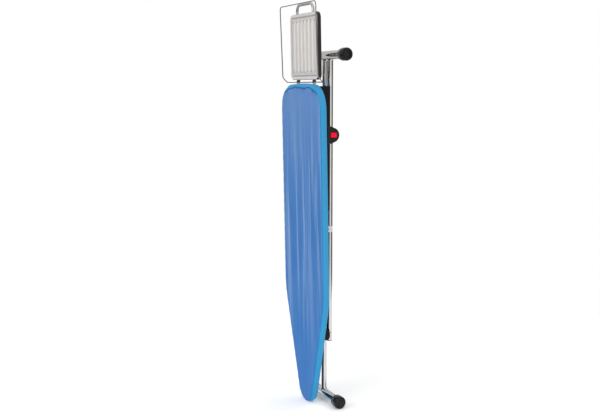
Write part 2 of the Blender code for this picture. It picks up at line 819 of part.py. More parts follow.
def build_outer_leg():
    for side, sign in sides():
        leg = coped_leg(
            "outer_leg_tube_" + side,
            sign * OUTER_LEG_X,
            OUTER_LEG_DEPTH,
            OUTER_LEG_END,
            OUTER_FOOT_HEIGHT - 0.005,
            OUTER_FOOT_HEIGHT,
        )
        smooth(leg)
        lug("pivot_lug_" + side, sign, PIVOT_HEIGHT, 0.0095)
        lug("cross_lug_" + side, sign, CROSSING_HEIGHT, 0.0110)
        plug = turned(
            "leg_plug_" + side,
            [
                (0, 0.018),
                (LEG_RADIUS - LEG_WALL - GAP, 0.018),
                (LEG_RADIUS - LEG_WALL - GAP, -GAP),
                (LEG_RADIUS, -GAP),
                (LEG_RADIUS, -0.0015),
                (LEG_RADIUS - 0.003, -0.0035),
                (0, -0.0040),
            ],
            BLACK_PLASTIC,
        )
        place(plug, None, (sign * OUTER_LEG_X, world_y(OUTER_LEG_DEPTH), OUTER_LEG_END))
    foot_tube("outer_foot_tube", OUTER_FOOT_HALF, OUTER_LEG_DEPTH, OUTER_FOOT_HEIGHT)
    foot_caps("outer_foot_cap", OUTER_FOOT_HALF, OUTER_LEG_DEPTH, OUTER_FOOT_HEIGHT)
    build_crossing_bolt()


def build_crossing_bolt():
    outer = LUG_INSIDE + LUG_THICK + GAP
    head = [
        (0, outer + 0.0042),
        (0.0040, outer + 0.0038),
        (0.0064, outer + 0.0022),
        (0.0068, outer),
        (PIN_RADIUS, outer),
        (PIN_RADIUS, -outer - 0.0055),
        (0, -outer - 0.0055),
    ]
    bolt = turned("crossing_bolt", head, BLACK_STEEL)
    along_x(bolt, 0, PIVOT_DEPTH, CROSSING_HEIGHT)
    bore = (PIN_RADIUS + GAP) / math.cos(math.pi / 6)
    nut_profile = [(0.0074, 0.0045), (0.0074, 0), (bore, 0), (bore, 0.0045)]
    nut = turned("crossing_nut", nut_profile, BLACK_STEEL, steps=6)
    along_x(nut, -outer - 0.0045, PIVOT_DEPTH, CROSSING_HEIGHT)


def build_inner_leg():
    top = SLIDER_HEIGHT - 0.0125
    leg = coped_leg(
        "inner_leg_tube", 0, INNER_LEG_DEPTH, INNER_FOOT_HEIGHT + 0.005, top, INNER_FOOT_HEIGHT
    )
    hole = rod("inner_leg_hole", 0.04, PIN_RADIUS + 0.0002, steps=32, collection=CUTTERS)
    along_x(hole, -0.02, PIVOT_DEPTH, CROSSING_HEIGHT)
    cut(leg, hole)
    foot_tube("inner_foot_tube", INNER_FOOT_HALF, INNER_LEG_DEPTH, INNER_FOOT_HEIGHT)
    foot_caps("inner_foot_cap", INNER_FOOT_HALF, INNER_LEG_DEPTH, INNER_FOOT_HEIGHT)
    block = box(
        "slider_block",
        (-0.0095, world_y(PIVOT_DEPTH - 0.0075), top + GAP),
        (0.0095, world_y(INNER_LEG_DEPTH + LEG_RADIUS), SLIDER_HEIGHT + 0.0085),
        BLACK_PLASTIC,
        bevel=0.0015,
    )
    bore = rod("slider_bore", 0.05, PIN_RADIUS + GAP, steps=24, collection=CUTTERS)
    along_x(bore, -0.025, PIVOT_DEPTH, SLIDER_HEIGHT)
    cut(block, bore)
    rod_half = RAIL_X - RAIL_SHEET - 0.0008
    slider = rod("slider_rod", 2 * rod_half, PIN_RADIUS, CHROME, steps=20)
    along_x(slider, -rod_half, PIVOT_DEPTH, SLIDER_HEIGHT)
    for side, sign in sides():
        bore_radius = PIN_RADIUS + GAP
        start = RAIL_X - RAIL_FLANGE
        profile = [
            (ROLLER_RADIUS, rod_half),
            (ROLLER_RADIUS, start),
            (bore_radius, start),
            (bore_radius, rod_half),
        ]
        roller = turned("slider_roller_" + side, profile, BLACK_PLASTIC)
        lay_sideways(roller, sign, PIVOT_DEPTH, SLIDER_HEIGHT)


build_board()
build_nose_bracket()
build_guide_rails()
build_rail_stands()
build_iron_rest()
build_release()
build_outer_leg()
build_inner_leg()
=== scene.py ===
"""The looks of the folded ironing board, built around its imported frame.

World frame: +X is the board's width, +Y points from the ironing surface to the legs, +Z is up, in metres.
A "board point" is (x, depth behind the ironing surface, place along the board from its nose); BOARD takes
it into the world. "Depth" of a leg is measured along +Y from DEPTH_ORIGIN.
"""

import json
import math

import bmesh
import bpy
import numpy as np
from mathutils import Matrix, Vector

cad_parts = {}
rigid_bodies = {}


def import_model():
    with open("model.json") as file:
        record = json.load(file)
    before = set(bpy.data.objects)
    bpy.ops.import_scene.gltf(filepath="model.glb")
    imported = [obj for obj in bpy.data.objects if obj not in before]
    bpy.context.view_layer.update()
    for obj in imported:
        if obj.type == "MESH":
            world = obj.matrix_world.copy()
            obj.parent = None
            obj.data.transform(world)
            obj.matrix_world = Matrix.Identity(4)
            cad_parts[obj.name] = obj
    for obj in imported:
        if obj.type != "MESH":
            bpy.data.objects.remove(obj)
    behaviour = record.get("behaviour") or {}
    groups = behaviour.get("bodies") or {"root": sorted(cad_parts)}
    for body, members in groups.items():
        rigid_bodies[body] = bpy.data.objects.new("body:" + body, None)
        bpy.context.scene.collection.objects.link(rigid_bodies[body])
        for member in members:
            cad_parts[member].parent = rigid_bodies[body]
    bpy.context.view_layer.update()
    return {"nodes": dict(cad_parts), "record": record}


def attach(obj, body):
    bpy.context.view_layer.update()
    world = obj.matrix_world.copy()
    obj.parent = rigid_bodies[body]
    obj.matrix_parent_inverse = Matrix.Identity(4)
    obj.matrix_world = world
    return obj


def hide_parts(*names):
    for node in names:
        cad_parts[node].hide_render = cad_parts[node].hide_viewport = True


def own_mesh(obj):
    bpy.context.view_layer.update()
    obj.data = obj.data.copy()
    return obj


for leftover in list(bpy.data.objects):
    bpy.data.objects.remove(leftover)
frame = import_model()

# The board's plan, as in the CAD source
BOARD_LENGTH = 1.205
BOARD_HALF_WIDTH = 0.180
NOSE_RADIUS = 0.064
FLANK_ANGLE = math.radians(17.9)
SHOULDER_RADIUS = 0.35
END_CORNER_RADIUS = 0.09
END_CROWN = 0.008
LEAN = math.radians(1.2)
NOSE_DEPTH = 0.021
DEPTH_ORIGIN = -0.0615
BOARD_Y = DEPTH_ORIGIN + NOSE_DEPTH
BOARD = Matrix.Translation((0, BOARD_Y, 0)) @ Matrix.Rotation(LEAN, 4, "X")
SIDES = (("right", 1), ("left", -1))

# Layers behind the ironing surface
COVER_FACE = 0.0012
COVER_THICKNESS = 0.0006
PAD_FRONT = 0.0037
PAD_BACK = 0.0090
MESH_FRONT = 0.0098
MESH_BACK = 0.0110
RIM_RADIUS = 0.007
RIM_CENTRE = 0.0183
RIM_INSET = 0.0095

# Legs
LEG_RADIUS = 0.0105
OUTER_LEG_X = 0.023
OUTER_LEG_DEPTH = 0.1125
OUTER_LEG_END = 0.234
OUTER_FOOT_HALF = 0.168
OUTER_FOOT_HEIGHT = 1.308
INNER_LEG_DEPTH = 0.1015
INNER_LEG_TOP = 1.0575
INNER_FOOT_HALF = 0.150
INNER_FOOT_HEIGHT = 0.0235
FOOT_RADIUS = 0.0165
CAP_RADIUS = 0.0235
CAP_LENGTH = 0.038

# Iron rest and linen rail
ROD_X = 0.073
ROD_DEPTH = 0.0306
ROD_RADIUS = 0.005
ROD_BEND = 0.022
ROD_START = 1.128
REST_TOP = 1.490
TRAY_HALF_WIDTH = 0.1265
TRAY_BOTTOM = 1.2175
TRAY_TOP = 1.458
TRAY_CORNER = 0.022
TRAY_FACE = 0.0215
WIRE_RADIUS = 0.002
WIRE_HALF_WIDTH = 0.166
WIRE_DEPTH = 0.0228
WIRE_PLACE = 1.2085

# Release button and housing
HOUSING_X = (0.150, 0.178)
HOUSING_HEIGHT = 1.022
HOUSING_FRONT = 0.0312
HOUSING_ROUND_DEPTH = 0.0525
HOUSING_ROUND = 0.0265
HOUSING_HALF_HEIGHT = 0.031
BUTTON_DEPTH = 0.0562
BUTTON_X = (0.168, 0.1805)
BUTTON_HALF = (0.01175, 0.009)
BUTTON_GAP = 0.0005
OPENING_BACK = 0.1545
SPRING_X = (0.1552, 0.1668)
SPRING_RADIUS = 0.0045
SPRING_WIRE_RADIUS = 0.0005


# ---------------- shapes


def smoothstep(low, high, value):
    share = np.clip((np.asarray(value, float) - low) / (high - low), 0, 1)
    return share * share * (3 - 2 * share)


def to_world(points):
    """Board points into the world."""
    matrix = np.array(BOARD)
    return np.asarray(points, float) @ matrix[:3, :3].T + matrix[:3, 3]


def shape_of_board(shape):
    """(points, faces) in board points, taken into the world."""
    return to_world(shape[0]), shape[1]


def board_ring(flat, depth):
    """(x, place along the board) points as board points. The depth is one number, or one for each point."""
    return np.stack([flat[:, 0], np.broadcast_to(depth, len(flat)), flat[:, 1]], axis=1)


def arc(centre, radius, start, end, steps):
    """Points of an arc, in degrees. The radius may be a pair, for an ellipse."""
    wide, tall = radius if isinstance(radius, tuple) else (radius, radius)
    turns = [math.radians(start + (end - start) * i / steps) for i in range(steps + 1)]
    return [(centre[0] + wide * math.cos(a), centre[1] + tall * math.sin(a)) for a in turns]


def fillet(before, corner, after, radius, steps):
    """Points of the arc that rounds one corner of a polygon."""
    corner = Vector(corner)
    to_before = (Vector(before) - corner).normalized()
    to_after = (Vector(after) - corner).normalized()
    half = to_before.angle(to_after) / 2
    centre = corner + (to_before + to_after).normalized() * (radius / math.sin(half))
    start = corner + to_before * (radius / math.tan(half)) - centre
    sweep = math.pi - 2 * half
    if to_before.cross(to_after) > 0:
        sweep = -sweep
    turned_points = [Matrix.Rotation(sweep * i / steps, 2) @ start for i in range(steps + 1)]
    return [tuple(centre + point) for point in turned_points]


def rounded(corners):
    """An outline from (x, y, radius, steps) corners, in order round the shape."""
    points = []
    for i, (x, y, radius, steps) in enumerate(corners):
        if radius:
            before = corners[i - 1][:2]
            after = corners[(i + 1) % len(corners)][:2]
            points += fillet(before, (x, y), after, radius, steps)
        else:
            points.append((x, y))
    return points


def rounded_box(centre, half_wide, half_tall, radius, steps=8):
    signs = ((1, -1), (1, 1), (-1, 1), (-1, -1))
    corners = [(centre[0] + x * half_wide, centre[1] + y * half_tall) for x, y in signs]
    return rounded([(*corner, radius, steps) for corner in corners])


def arch(half, low, high):
    """The line of an arch. Its lower and its upper corners are each a (place, radius, steps)."""
    return rounded([(-half, *low), (-half, *high), (half, *high), (half, *low)])


def resampled(points, count, closed=True):
    """The same line with that many points, evenly spaced."""
    line = np.array([*points, points[0]] if closed else points, float)
    run = np.concatenate([[0], np.cumsum(np.linalg.norm(np.diff(line, axis=0), axis=1))])
    places = np.linspace(0, run[-1], count, endpoint=not closed)
    return np.stack([np.interp(places, run, line[:, k]) for k in range(line.shape[1])], axis=1)


def inward(outline):
    """Unit normals that point into an anticlockwise outline."""
    ahead = np.roll(outline, -1, axis=0) - np.roll(outline, 1, axis=0)
    normals = np.stack([-ahead[:, 1], ahead[:, 0]], axis=1)
    return normals / np.linalg.norm(normals, axis=1, keepdims=True)


def board_outline(count):
    """The board's plan, anticlockwise from the middle of its nose, as (x, place along the board)."""
    nose = NOSE_RADIUS / math.tan((math.pi / 2 + FLANK_ANGLE) / 2)
    shoulder = (BOARD_HALF_WIDTH - nose) / math.tan(FLANK_ANGLE)
    corner = BOARD_LENGTH - END_CROWN
    right = [
        (nose, 0, NOSE_RADIUS, 40),
        (BOARD_HALF_WIDTH, shoulder, SHOULDER_RADIUS, 16),
        (BOARD_HALF_WIDTH, corner, END_CORNER_RADIUS, 40),
    ]
    left = [(-x, y, radius, steps) for x, y, radius, steps in reversed(right)]
    points = rounded([*right, (0, BOARD_LENGTH, 1.2, 10), *left])
    return resampled([(0, 0), *points], count)


def loft(rings, cap_first=False, cap_last=False):
    """(points, faces) of a surface through closed rings of the same number of points."""
    rings = np.asarray(rings, float)
    count, around = rings.shape[:2]
    faces = []
    for i in range(count - 1):
        low, high = i * around, (i + 1) * around
        for j in range(around):
            k = (j + 1) % around
            faces.append((low + j, low + k, high + k, high + j))
    if cap_first:
        faces.append(tuple(reversed(range(around))))
    if cap_last:
        faces.append(tuple(range((count - 1) * around, count * around)))
    return rings.reshape(-1, 3), faces


def turned(profile, axis, centre, sides=48):
    """Rings of a solid of revolution. The profile is (distance along the axis, radius) pairs."""
    along = "XYZ".index(axis)
    angles = np.linspace(0, 2 * math.pi, sides, endpoint=False)
    rings = np.zeros((len(profile), sides, 3))
    for ring, (place, radius) in zip(rings, profile):
        ring[:, along] = place
        ring[:, (along + 1) % 3] = radius * np.cos(angles)
        ring[:, (along + 2) % 3] = radius * np.sin(angles)
    return rings + np.array(centre)


def pipe(path, radius, sides=16, closed=False):
    """(points, faces) of a round bar along a path, its ends closed."""
    path = np.asarray(path, float)
    ahead, behind = np.roll(path, -1, axis=0), np.roll(path, 1, axis=0)
    if not closed:
        ahead[-1], behind[0] = path[-1], path[0]
    tangents = ahead - behind
    tangents /= np.linalg.norm(tangents, axis=1, keepdims=True)
    normal = np.cross(tangents[0], (0.3, 0.2, 0.9))
    angles = np.linspace(0, 2 * math.pi, sides, endpoint=False)[:, None]
    radii = np.broadcast_to(radius, len(path))
    rings = []
    for point, tangent, size in zip(path, tangents, radii):
        normal = normal - tangent * (normal @ tangent)
        normal /= np.linalg.norm(normal)
        side = np.cross(tangent, normal)
        rings.append(point + size * (np.cos(angles) * normal + np.sin(angles) * side))
    if closed:
        rings.append(rings[0])
    return loft(rings, not closed, not closed)


def new_object(name, data):
    """An object of that data, in the scene."""
    obj = bpy.data.objects.new(name, data)
    bpy.context.scene.collection.objects.link(obj)
    return obj


def piece(name, shape, slot, body, nodes=(), sharp=None, weld=1e-6, material=None, second=None):
    """A mesh object from (points, faces) that rides on a body and stands for CAD nodes.
    It has its slot's material if none is given. second is another and, for each face, 1 where it is used."""
    points, faces = shape
    mesh = bpy.data.meshes.new(name)
    mesh.from_pydata(np.asarray(points).tolist(), [], faces)
    mesh.materials.append(material or MATERIALS[slot])
    if second:
        mesh.materials.append(second[0])
        mesh.polygons.foreach_set("material_index", second[1])
    work = bmesh.new()
    work.from_mesh(mesh)
    bmesh.ops.remove_doubles(work, verts=work.verts, dist=weld)
    bmesh.ops.dissolve_degenerate(work, edges=work.edges, dist=1e-7)
    bmesh.ops.recalc_face_normals(work, faces=work.faces)
    work.to_mesh(mesh)
    work.free()
    mesh.shade_smooth()
    if sharp:
        mesh.set_sharp_from_angle(angle=math.radians(sharp))
    obj = new_object(name, mesh)
    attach(obj, body)
    if nodes:
        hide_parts(*nodes)
    return obj


def thickened(obj, name, thickness):
    """Gives an open surface a thickness, behind its outer side."""
    modifier = obj.modifiers.new(name, "SOLIDIFY")
    modifier.thickness = thickness
    modifier.offset = -1


def join_shapes(*shapes):
    """The (points, faces) of several shapes as one."""
    points, faces, start = [], [], 0
    for some_points, some_faces in shapes:
        points.append(np.asarray(some_points, float))
        faces += [tuple(start + i for i in face) for face in some_faces]
        start += len(some_points)
    return np.concatenate(points), faces


# ---------------- materials


def mix(tree, factor, first, second):
    """A colour between two, each a colour or another node's output."""
    node = tree.nodes.new("ShaderNodeMix")
    node.data_type = "RGBA"
    tree.links.new(factor, node.inputs["Factor"])
    for socket, value in ((node.inputs[6], first), (node.inputs[7], second)):
        if isinstance(value, tuple):
            socket.default_value = (*value, 1)
        else:
            tree.links.new(value, socket)
    return node.outputs[2]


class Nodes:
    """A material's node tree."""

    def __init__(self, name, colour, roughness, metallic=0.0, **constants):
        self.material = bpy.data.materials.new(name)
        self.material.use_nodes = True
        self.material.diffuse_color = (*colour, 1)
        self.tree = self.material.node_tree
        self.shader = self.tree.nodes["Principled BSDF"]
        self.shader.inputs["Base Color"].default_value = (*colour, 1)
        self.shader.inputs["Roughness"].default_value = roughness
        self.shader.inputs["Metallic"].default_value = metallic
        for socket, value in constants.items():
            self.shader.inputs[socket.replace("_", " ")].default_value = value
        self.coordinates = self.tree.nodes.new("ShaderNodeTexCoord").outputs["Object"]

    def link(self, source, target):
        self.tree.links.new(source, target)

    def stretched(self, scale):
        """Object coordinates scaled by a vector, for a texture that runs along the board."""
        mapping = self.tree.nodes.new("ShaderNodeMapping")
        mapping.inputs["Scale"].default_value = scale
        self.link(self.coordinates, mapping.inputs["Vector"])
        return mapping.outputs["Vector"]

    def split(self):
        """The object coordinates X, Y and Z."""
        node = self.tree.nodes.new("ShaderNodeSeparateXYZ")
        self.link(self.coordinates, node.inputs["Vector"])
        return list(node.outputs)

    def height(self):
        return self.split()[2]

    def slope_depth(self):
        """The world's Y with the board's lean taken out: BOARD_Y on the ironing surface, more behind it."""
        _, y, z = self.split()
        return self.maths("ADD", y, self.maths("MULTIPLY", z, math.tan(LEAN)))

    def noise(self, scale, detail=3.0, vector=None, distortion=0.0):
        node = self.tree.nodes.new("ShaderNodeTexNoise")
        node.inputs["Scale"].default_value = scale
        node.inputs["Detail"].default_value = detail
        node.inputs["Distortion"].default_value = distortion
        self.link(vector or self.coordinates, node.inputs["Vector"])
        return node.outputs["Fac"]

    def ranged(self, value, low, high, out_low, out_high):
        node = self.tree.nodes.new("ShaderNodeMapRange")
        for socket, number in zip(list(node.inputs)[1:5], (low, high, out_low, out_high)):
            socket.default_value = number
        self.link(value, node.inputs["Value"])
        return node.outputs["Result"]

    def maths(self, operation, first, second=0.0):
        node = self.tree.nodes.new("ShaderNodeMath")
        node.operation = operation
        for socket, value in zip(node.inputs, (first, second)):
            if isinstance(value, (int, float)):
                socket.default_value = value
            else:
                self.link(value, socket)
        return node.outputs["Value"]

    def mixed(self, factor, first, second):
        return mix(self.tree, factor, first, second)

    def colour(self, output):
        self.link(output, self.shader.inputs["Base Color"])

    def roughness(self, output):
        self.link(output, self.shader.inputs["Roughness"])

    def bump(self, height, distance, strength=1.0):
        node = self.tree.nodes.new("ShaderNodeBump")
        node.inputs["Distance"].default_value = distance
        node.inputs["Strength"].default_value = strength
        self.link(height, node.inputs["Height"])
        self.link(node.outputs["Normal"], self.shader.inputs["Normal"])


THREAD_PITCH = 0.0011


def weave(nodes, pitch):
    """A plain weave's height, 0 to 1: threads along the board crossing threads across it."""
    x, y, z = nodes.split()
    wave = 2 * math.pi / pitch
    first = nodes.maths("SINE", nodes.maths("MULTIPLY", nodes.maths("ADD", x, y), wave))
    second = nodes.maths("SINE", nodes.maths("MULTIPLY", z, wave))
    return nodes.ranged(nodes.maths("MULTIPLY", first, second), -1, 1, 0, 1)


def painted_streak_highlights(nodes, colour, streak_highlight):
    """Painted highlights in lengthwise streaks, where the long wrinkles catch the light, strongest over the
    middle of the board's length.
    """
    height = nodes.height()
    upwards = nodes.ranged(height, 0.20, 0.50, 0.15, 1)
    downwards = nodes.ranged(height, 1.14, 0.95, 0.25, 1)
    where = nodes.maths("MULTIPLY", downwards, upwards)
    lines = nodes.noise(1.0, 2.0, nodes.stretched((36, 36, 1.1)), 0.2)
    # Painted highlight: lighter streaks where the wrinkles catch the light
    streak_highlight_mask = nodes.maths("MULTIPLY", nodes.ranged(lines, 0.48, 0.68, 0, 1.0), where)
    return nodes.mixed(streak_highlight_mask, colour, streak_highlight)


def painted_crease_shade(nodes, colour, crease_shade_colour):
    """Painted shade: a darker colour in the crease behind the face, along the square end, where the fold's
    shadow falls.
    """
    # Painted shade in the fold behind the face at the square end
    crease_shade = nodes.ranged(nodes.slope_depth(), BOARD_Y + 0.0017, BOARD_Y + 0.0030, 0, 0.9)
    crease_shade = nodes.maths("MULTIPLY", crease_shade, nodes.ranged(nodes.height(), 1.15, 1.17, 0, 1))
    return nodes.mixed(crease_shade, colour, crease_shade_colour)


def lit_side_colours(nodes, colour, back, nose):
    """The cover's side, a lit copy painted brighter than the face where the lamp falls on it: one blue away
    from the front edge, and another low down, near the nose.
    """
    across = nodes.ranged(nodes.slope_depth(), BOARD_Y + 0.0018, BOARD_Y + 0.0090, 0, 1)
    # Away from the front edge the side turns to the back blue; by the edge it keeps a deeper blue, painted
    # shade at the fold
    colour = nodes.mixed(across, colour, back)
    by_nose = nodes.ranged(nodes.height(), 0.45, 0.05, 0, 0.9)
    by_front = nodes.ranged(across, 0.2, 0.9, 1, 0)
    return nodes.mixed(nodes.maths("MULTIPLY", by_nose, by_front), colour, nose)


def cotton(name, deep, lit_upper, rise, streak_highlight=None, crease_shade=None, side=None):
    """Blue cotton in a plain weave. It goes from the deep to the lit upper colour between the heights of
    rise, a paler top that is painted light from above.
    The cover's face has a streak colour, a painted highlight, and a crease colour, painted shade; its side
    has a pair of colours instead, painted lighter where the lamp falls on it."""
    nodes = Nodes(name, deep, 0.86, Sheen_Weight=0.06, Sheen_Roughness=0.4, Specular_IOR_Level=0.15)
    # Painted light: the face grows paler towards the top, as lit from above
    colour = nodes.mixed(nodes.ranged(nodes.height(), *rise, 0, 1), deep, lit_upper)
    clouds = nodes.ranged(nodes.noise(5.0, 2.0), 0.35, 0.7, 0, 0.08 if side else 0.25)
    colour = nodes.mixed(clouds, colour, lit_upper)
    if side:
        # The side gets painted light: a brighter blue than the face
        colour = lit_side_colours(nodes, colour, *side)
    else:
        # The face gets painted highlights on its streaks and painted shade in its crease
        colour = painted_crease_shade(nodes, painted_streak_highlights(nodes, colour, streak_highlight), crease_shade)
    threads = weave(nodes, THREAD_PITCH)
    between_threads = tuple(0.7 * part for part in deep)
    nodes.colour(nodes.mixed(nodes.ranged(threads, 0, 1, 0.16, 0), colour, between_threads))
    fuzz = nodes.noise(700, 2.0)
    nodes.roughness(nodes.ranged(fuzz, 0.3, 0.7, 0.78, 0.94))
    nodes.bump(nodes.maths("ADD", threads, nodes.maths("MULTIPLY", fuzz, 0.5)), 0.00022, 0.7)
    return nodes.material


def chrome(name, bright, dull):
    """Polished chrome with duller clouds and faint scratches along the board's length."""
    nodes = Nodes(name, bright, 0.08, 1.0)
    clouds = nodes.noise(22, 4.0)
    scratches = nodes.noise(60, 2.0, nodes.stretched((14, 14, 0.7)))
    haze = nodes.ranged(clouds, 0.35, 0.7, 0.045, 0.12)
    nodes.roughness(nodes.maths("ADD", haze, nodes.ranged(scratches, 0.6, 0.8, 0, 0.10)))
    nodes.colour(nodes.mixed(nodes.ranged(clouds, 0.3, 0.75, 0, 1), bright, dull))
    nodes.bump(nodes.noise(160, 2.0), 0.00005, 0.25)
    return nodes.material


def black_steel():
    """Black powder coat with a fine orange peel."""
    nodes = Nodes("black_steel", (0.003, 0.003, 0.0032), 0.36, Specular_IOR_Level=0.2)
    patches = nodes.noise(14, 4.0)
    nodes.roughness(nodes.ranged(patches, 0.3, 0.7, 0.28, 0.46))
    tone = nodes.ranged(patches, 0.35, 0.75, 0, 1)
    nodes.colour(nodes.mixed(tone, (0.002, 0.002, 0.0021), (0.005, 0.005, 0.0052)))
    nodes.bump(nodes.noise(900, 3.0), 0.00012, 0.5)
    return nodes.material


def plastic(name, low, high, rough, grain, depth, specular):
    """Moulded plastic between two near tones and two roughnesses, with a grain of that scale and depth."""
    nodes = Nodes(name, low, rough[0], Specular_IOR_Level=specular)
    nodes.roughness(nodes.ranged(nodes.noise(240, 3.0), 0.3, 0.7, *rough))
    nodes.colour(nodes.mixed(nodes.ranged(nodes.noise(20, 3.0), 0.35, 0.7, 0, 1), low, high))
    nodes.bump(nodes.noise(grain, 2.0), depth, 0.5)
    return nodes.material


def felt():
    """Grey felt with darker flecks."""
    nodes = Nodes("pad_felt", (0.30, 0.30, 0.29), 0.95, Sheen_Weight=0.2)
    fibres = nodes.noise(420, 5.0, None, 1.5)
    flecks = nodes.ranged(nodes.noise(120, 3.0), 0.35, 0.7, 0, 1)
    nodes.colour(nodes.mixed(flecks, (0.34, 0.335, 0.32), (0.20, 0.20, 0.195)))
    nodes.roughness(nodes.ranged(fibres, 0.3, 0.7, 0.85, 1.0))
    nodes.bump(fibres, 0.0006, 0.8)
    return nodes.material


def silver_sheet(name, ribs, hollow_shade_colour):
    """Silver-painted steel sheet, with painted shade: darker in the hollows of the pressing and nearly black
    in its pits.
    """
    nodes = Nodes(name, ribs, 0.42, 0.25)
    depth, face = nodes.slope_depth(), BOARD_Y + TRAY_FACE
    wear = nodes.noise(35, 5.0, nodes.stretched((1.6, 1.6, 0.5)))
    nodes.roughness(nodes.ranged(wear, 0.35, 0.7, 0.34, 0.52))
    worn = nodes.mixed(nodes.ranged(wear, 0.4, 0.75, 0, 0.25), ribs, hollow_shade_colour)
    # Painted shade in the hollows of the pressing and, nearly black, in its pits
    hollow_shade = nodes.ranged(depth, face - 0.0008, face + 0.0018, 0, 0.9)
    pit_shade = nodes.ranged(depth, face + 0.0023, face + 0.0040, 0, 0.75)
    pit_shade_colour = tuple(0.2 * part for part in hollow_shade_colour)
    nodes.colour(nodes.mixed(pit_shade, nodes.mixed(hollow_shade, worn, hollow_shade_colour), pit_shade_colour))
    nodes.bump(nodes.noise(1100, 2.0), 0.00008, 0.5)
    return nodes.material


def spring_wire():
    nodes = Nodes("spring_steel", (0.55, 0.55, 0.56), 0.3, 1.0)
    drawn = nodes.noise(500, 2.0)
    nodes.roughness(nodes.ranged(drawn, 0.3, 0.7, 0.2, 0.4))
    nodes.colour(nodes.mixed(drawn, (0.58, 0.58, 0.59), (0.42, 0.42, 0.43)))
    nodes.bump(drawn, 0.00003, 0.5)
    return nodes.material


MATERIALS = {
    "chrome": chrome("chrome", (0.68, 0.665, 0.655), (0.58, 0.57, 0.56)),
    "black_steel": black_steel(),
    "black_plastic": plastic(
        "black_plastic", (0.0022, 0.002, 0.002), (0.005, 0.0047, 0.0047), (0.12, 0.22), 1400, 0.0001, 0.28
    ),
    "red_plastic": plastic(
        "red_plastic", (0.97, 0.0, 0.034), (0.90, 0.0, 0.028), (0.30, 0.42), 300, 0.00003, 0.2
    ),
    "cover_cotton": cotton(
        "cover_cotton",
        (0.036, 0.185, 0.520),
        # the lit upper colour, painted light from above
        (0.132, 0.285, 0.62),
        rise=(0.70, 1.15),
        # the painted highlight colour of the streaks
        streak_highlight=(0.24, 0.385, 0.67),
        # the painted shade colour of the crease
        crease_shade=(0.004, 0.13, 0.40),
    ),
    "pad_felt": felt(),
    # tray_steel: its second colour is painted shade for the hollows
    "tray_steel": silver_sheet("tray_steel", (0.90, 0.87, 0.85), (0.66, 0.635, 0.615)),
    "spring_steel": spring_wire(),
}
# Other tones of three of those materials, set by the photo
# Painted dark reflection: darker copies of the chrome for the wire loop and the rest rod, standing in for the
# dark surroundings they reflect
WIRE_CHROME_DARK_REFLECTION = chrome("wire_chrome_dark_reflection", (0.30, 0.29, 0.285), (0.21, 0.205, 0.20))
ROD_CHROME_DARK_REFLECTION = chrome("rod_chrome_dark_reflection", (0.48, 0.47, 0.46), (0.40, 0.39, 0.38))
# Painted shade: a nearly black copy of the tray's sheet for its skirt, standing in for shade and dark
# reflection
TRAY_SKIRT_SHADE = silver_sheet("tray_steel_skirt_shade", (0.045, 0.043, 0.042), (0.020, 0.019, 0.019))
# Painted light: a lit copy of the cover's cotton for its side, brighter where the lamp falls on it, deeper by
# the fold
LIT_SIDE_COTTON = cotton(
    "cover_cotton_side_lit",
    (0.003, 0.185, 0.47),
    (0.060, 0.37, 0.70),
    rise=(1.10, 1.19),
    side=((0.052, 0.345, 0.64), (0.001, 0.27, 0.58)),
)


# ---------------- cover, pad and deck

AROUND = 560
FRONT_RINGS = 44
EDGE_INSET = 0.0080
EDGE_DROP = 0.0050
EDGE_STEPS = 9
END_INSET = 0.0055
END_DROP = 0.0025
SKIRT_END = 0.0265
HEM_ROUND = 0.0042
HEM_LIFT = 0.0004
# (distance in from the outline, depth) of the gathered cloth behind the board
HEM_PROFILE = ((0.008, 0.0302), (0.012, 0.0299), (0.016, 0.0294))
HEM_PROFILE += ((0.020, 0.0288), (0.024, 0.0281), (0.0275, 0.0274))
HEM_CORD_RADIUS = 0.0016
FLOOR_CLEARANCE = 0.0007
SPINE_SPAN = (0.10, 1.09)
# (place across at mid length, slope, first and last place along, half width, height) of each long wrinkle
WRINKLES = (
    (-0.132, 0.050, 0.42, 1.12, 0.0085, 0.0012),
    (-0.105, 0.030, 0.30, 0.98, 0.0100, 0.0009),
    (-0.047, 0.040, 0.26, 1.05, 0.0090, 0.0011),
    (0.010, 0.045, 0.22, 0.92, 0.0080, 0.0010),
    (0.034, 0.020, 0.55, 1.14, 0.0095, 0.0007),
    (0.088, 0.055, 0.40, 1.06, 0.0090, 0.0013),
    (0.118, 0.035, 0.46, 1.16, 0.0085, 0.0008),
    (0.150, 0.025, 0.62, 1.08, 0.0065, 0.0008),
)


def wrinkle_height(x, along):
    """How far the cover stands proud of its flat face at a board point."""
    raised = np.zeros_like(x)
    for number, (place, slope, first, last, width, height) in enumerate(WRINKLES):
        wander = 0.0035 * np.sin(9.0 * along + 1.7 * number) + 0.0015 * np.sin(23.0 * along + number)
        off = (x - place - slope * (along - 0.65) - wander) / width
        ends = smoothstep(first, first + 0.22, along) * smoothstep(last, last - 0.22, along)
        crest = np.exp(-(off**2)) - 0.35 * np.exp(-((off - 1.9) ** 2))
        raised += height * ends * crest
    slow = np.sin(21 * x + 5.1 * along) * np.sin(7.3 * along + 1.0) + 0.7 * np.sin(47 * x - 3.3 * along + 2.0)
    return raised + 0.00035 * slow


def gather(run):
    """The puckers of the drawn hem, 0 to 1, at that distance round the board."""
    phase = 2 * math.pi * run / 0.017
    phase += 1.3 * np.sin(2 * math.pi * run / 0.23) + 0.9 * np.sin(2 * math.pi * run / 0.11 + 1.0)
    return 0.5 + 0.5 * np.sin(phase) * (0.75 + 0.25 * np.sin(2 * math.pi * run / 0.061))


def spine_of(outline):
    """The place on the board's middle line that each point of an outline shrinks to."""
    return np.stack([np.zeros(len(outline)), np.clip(outline[:, 1], *SPINE_SPAN)], axis=1)


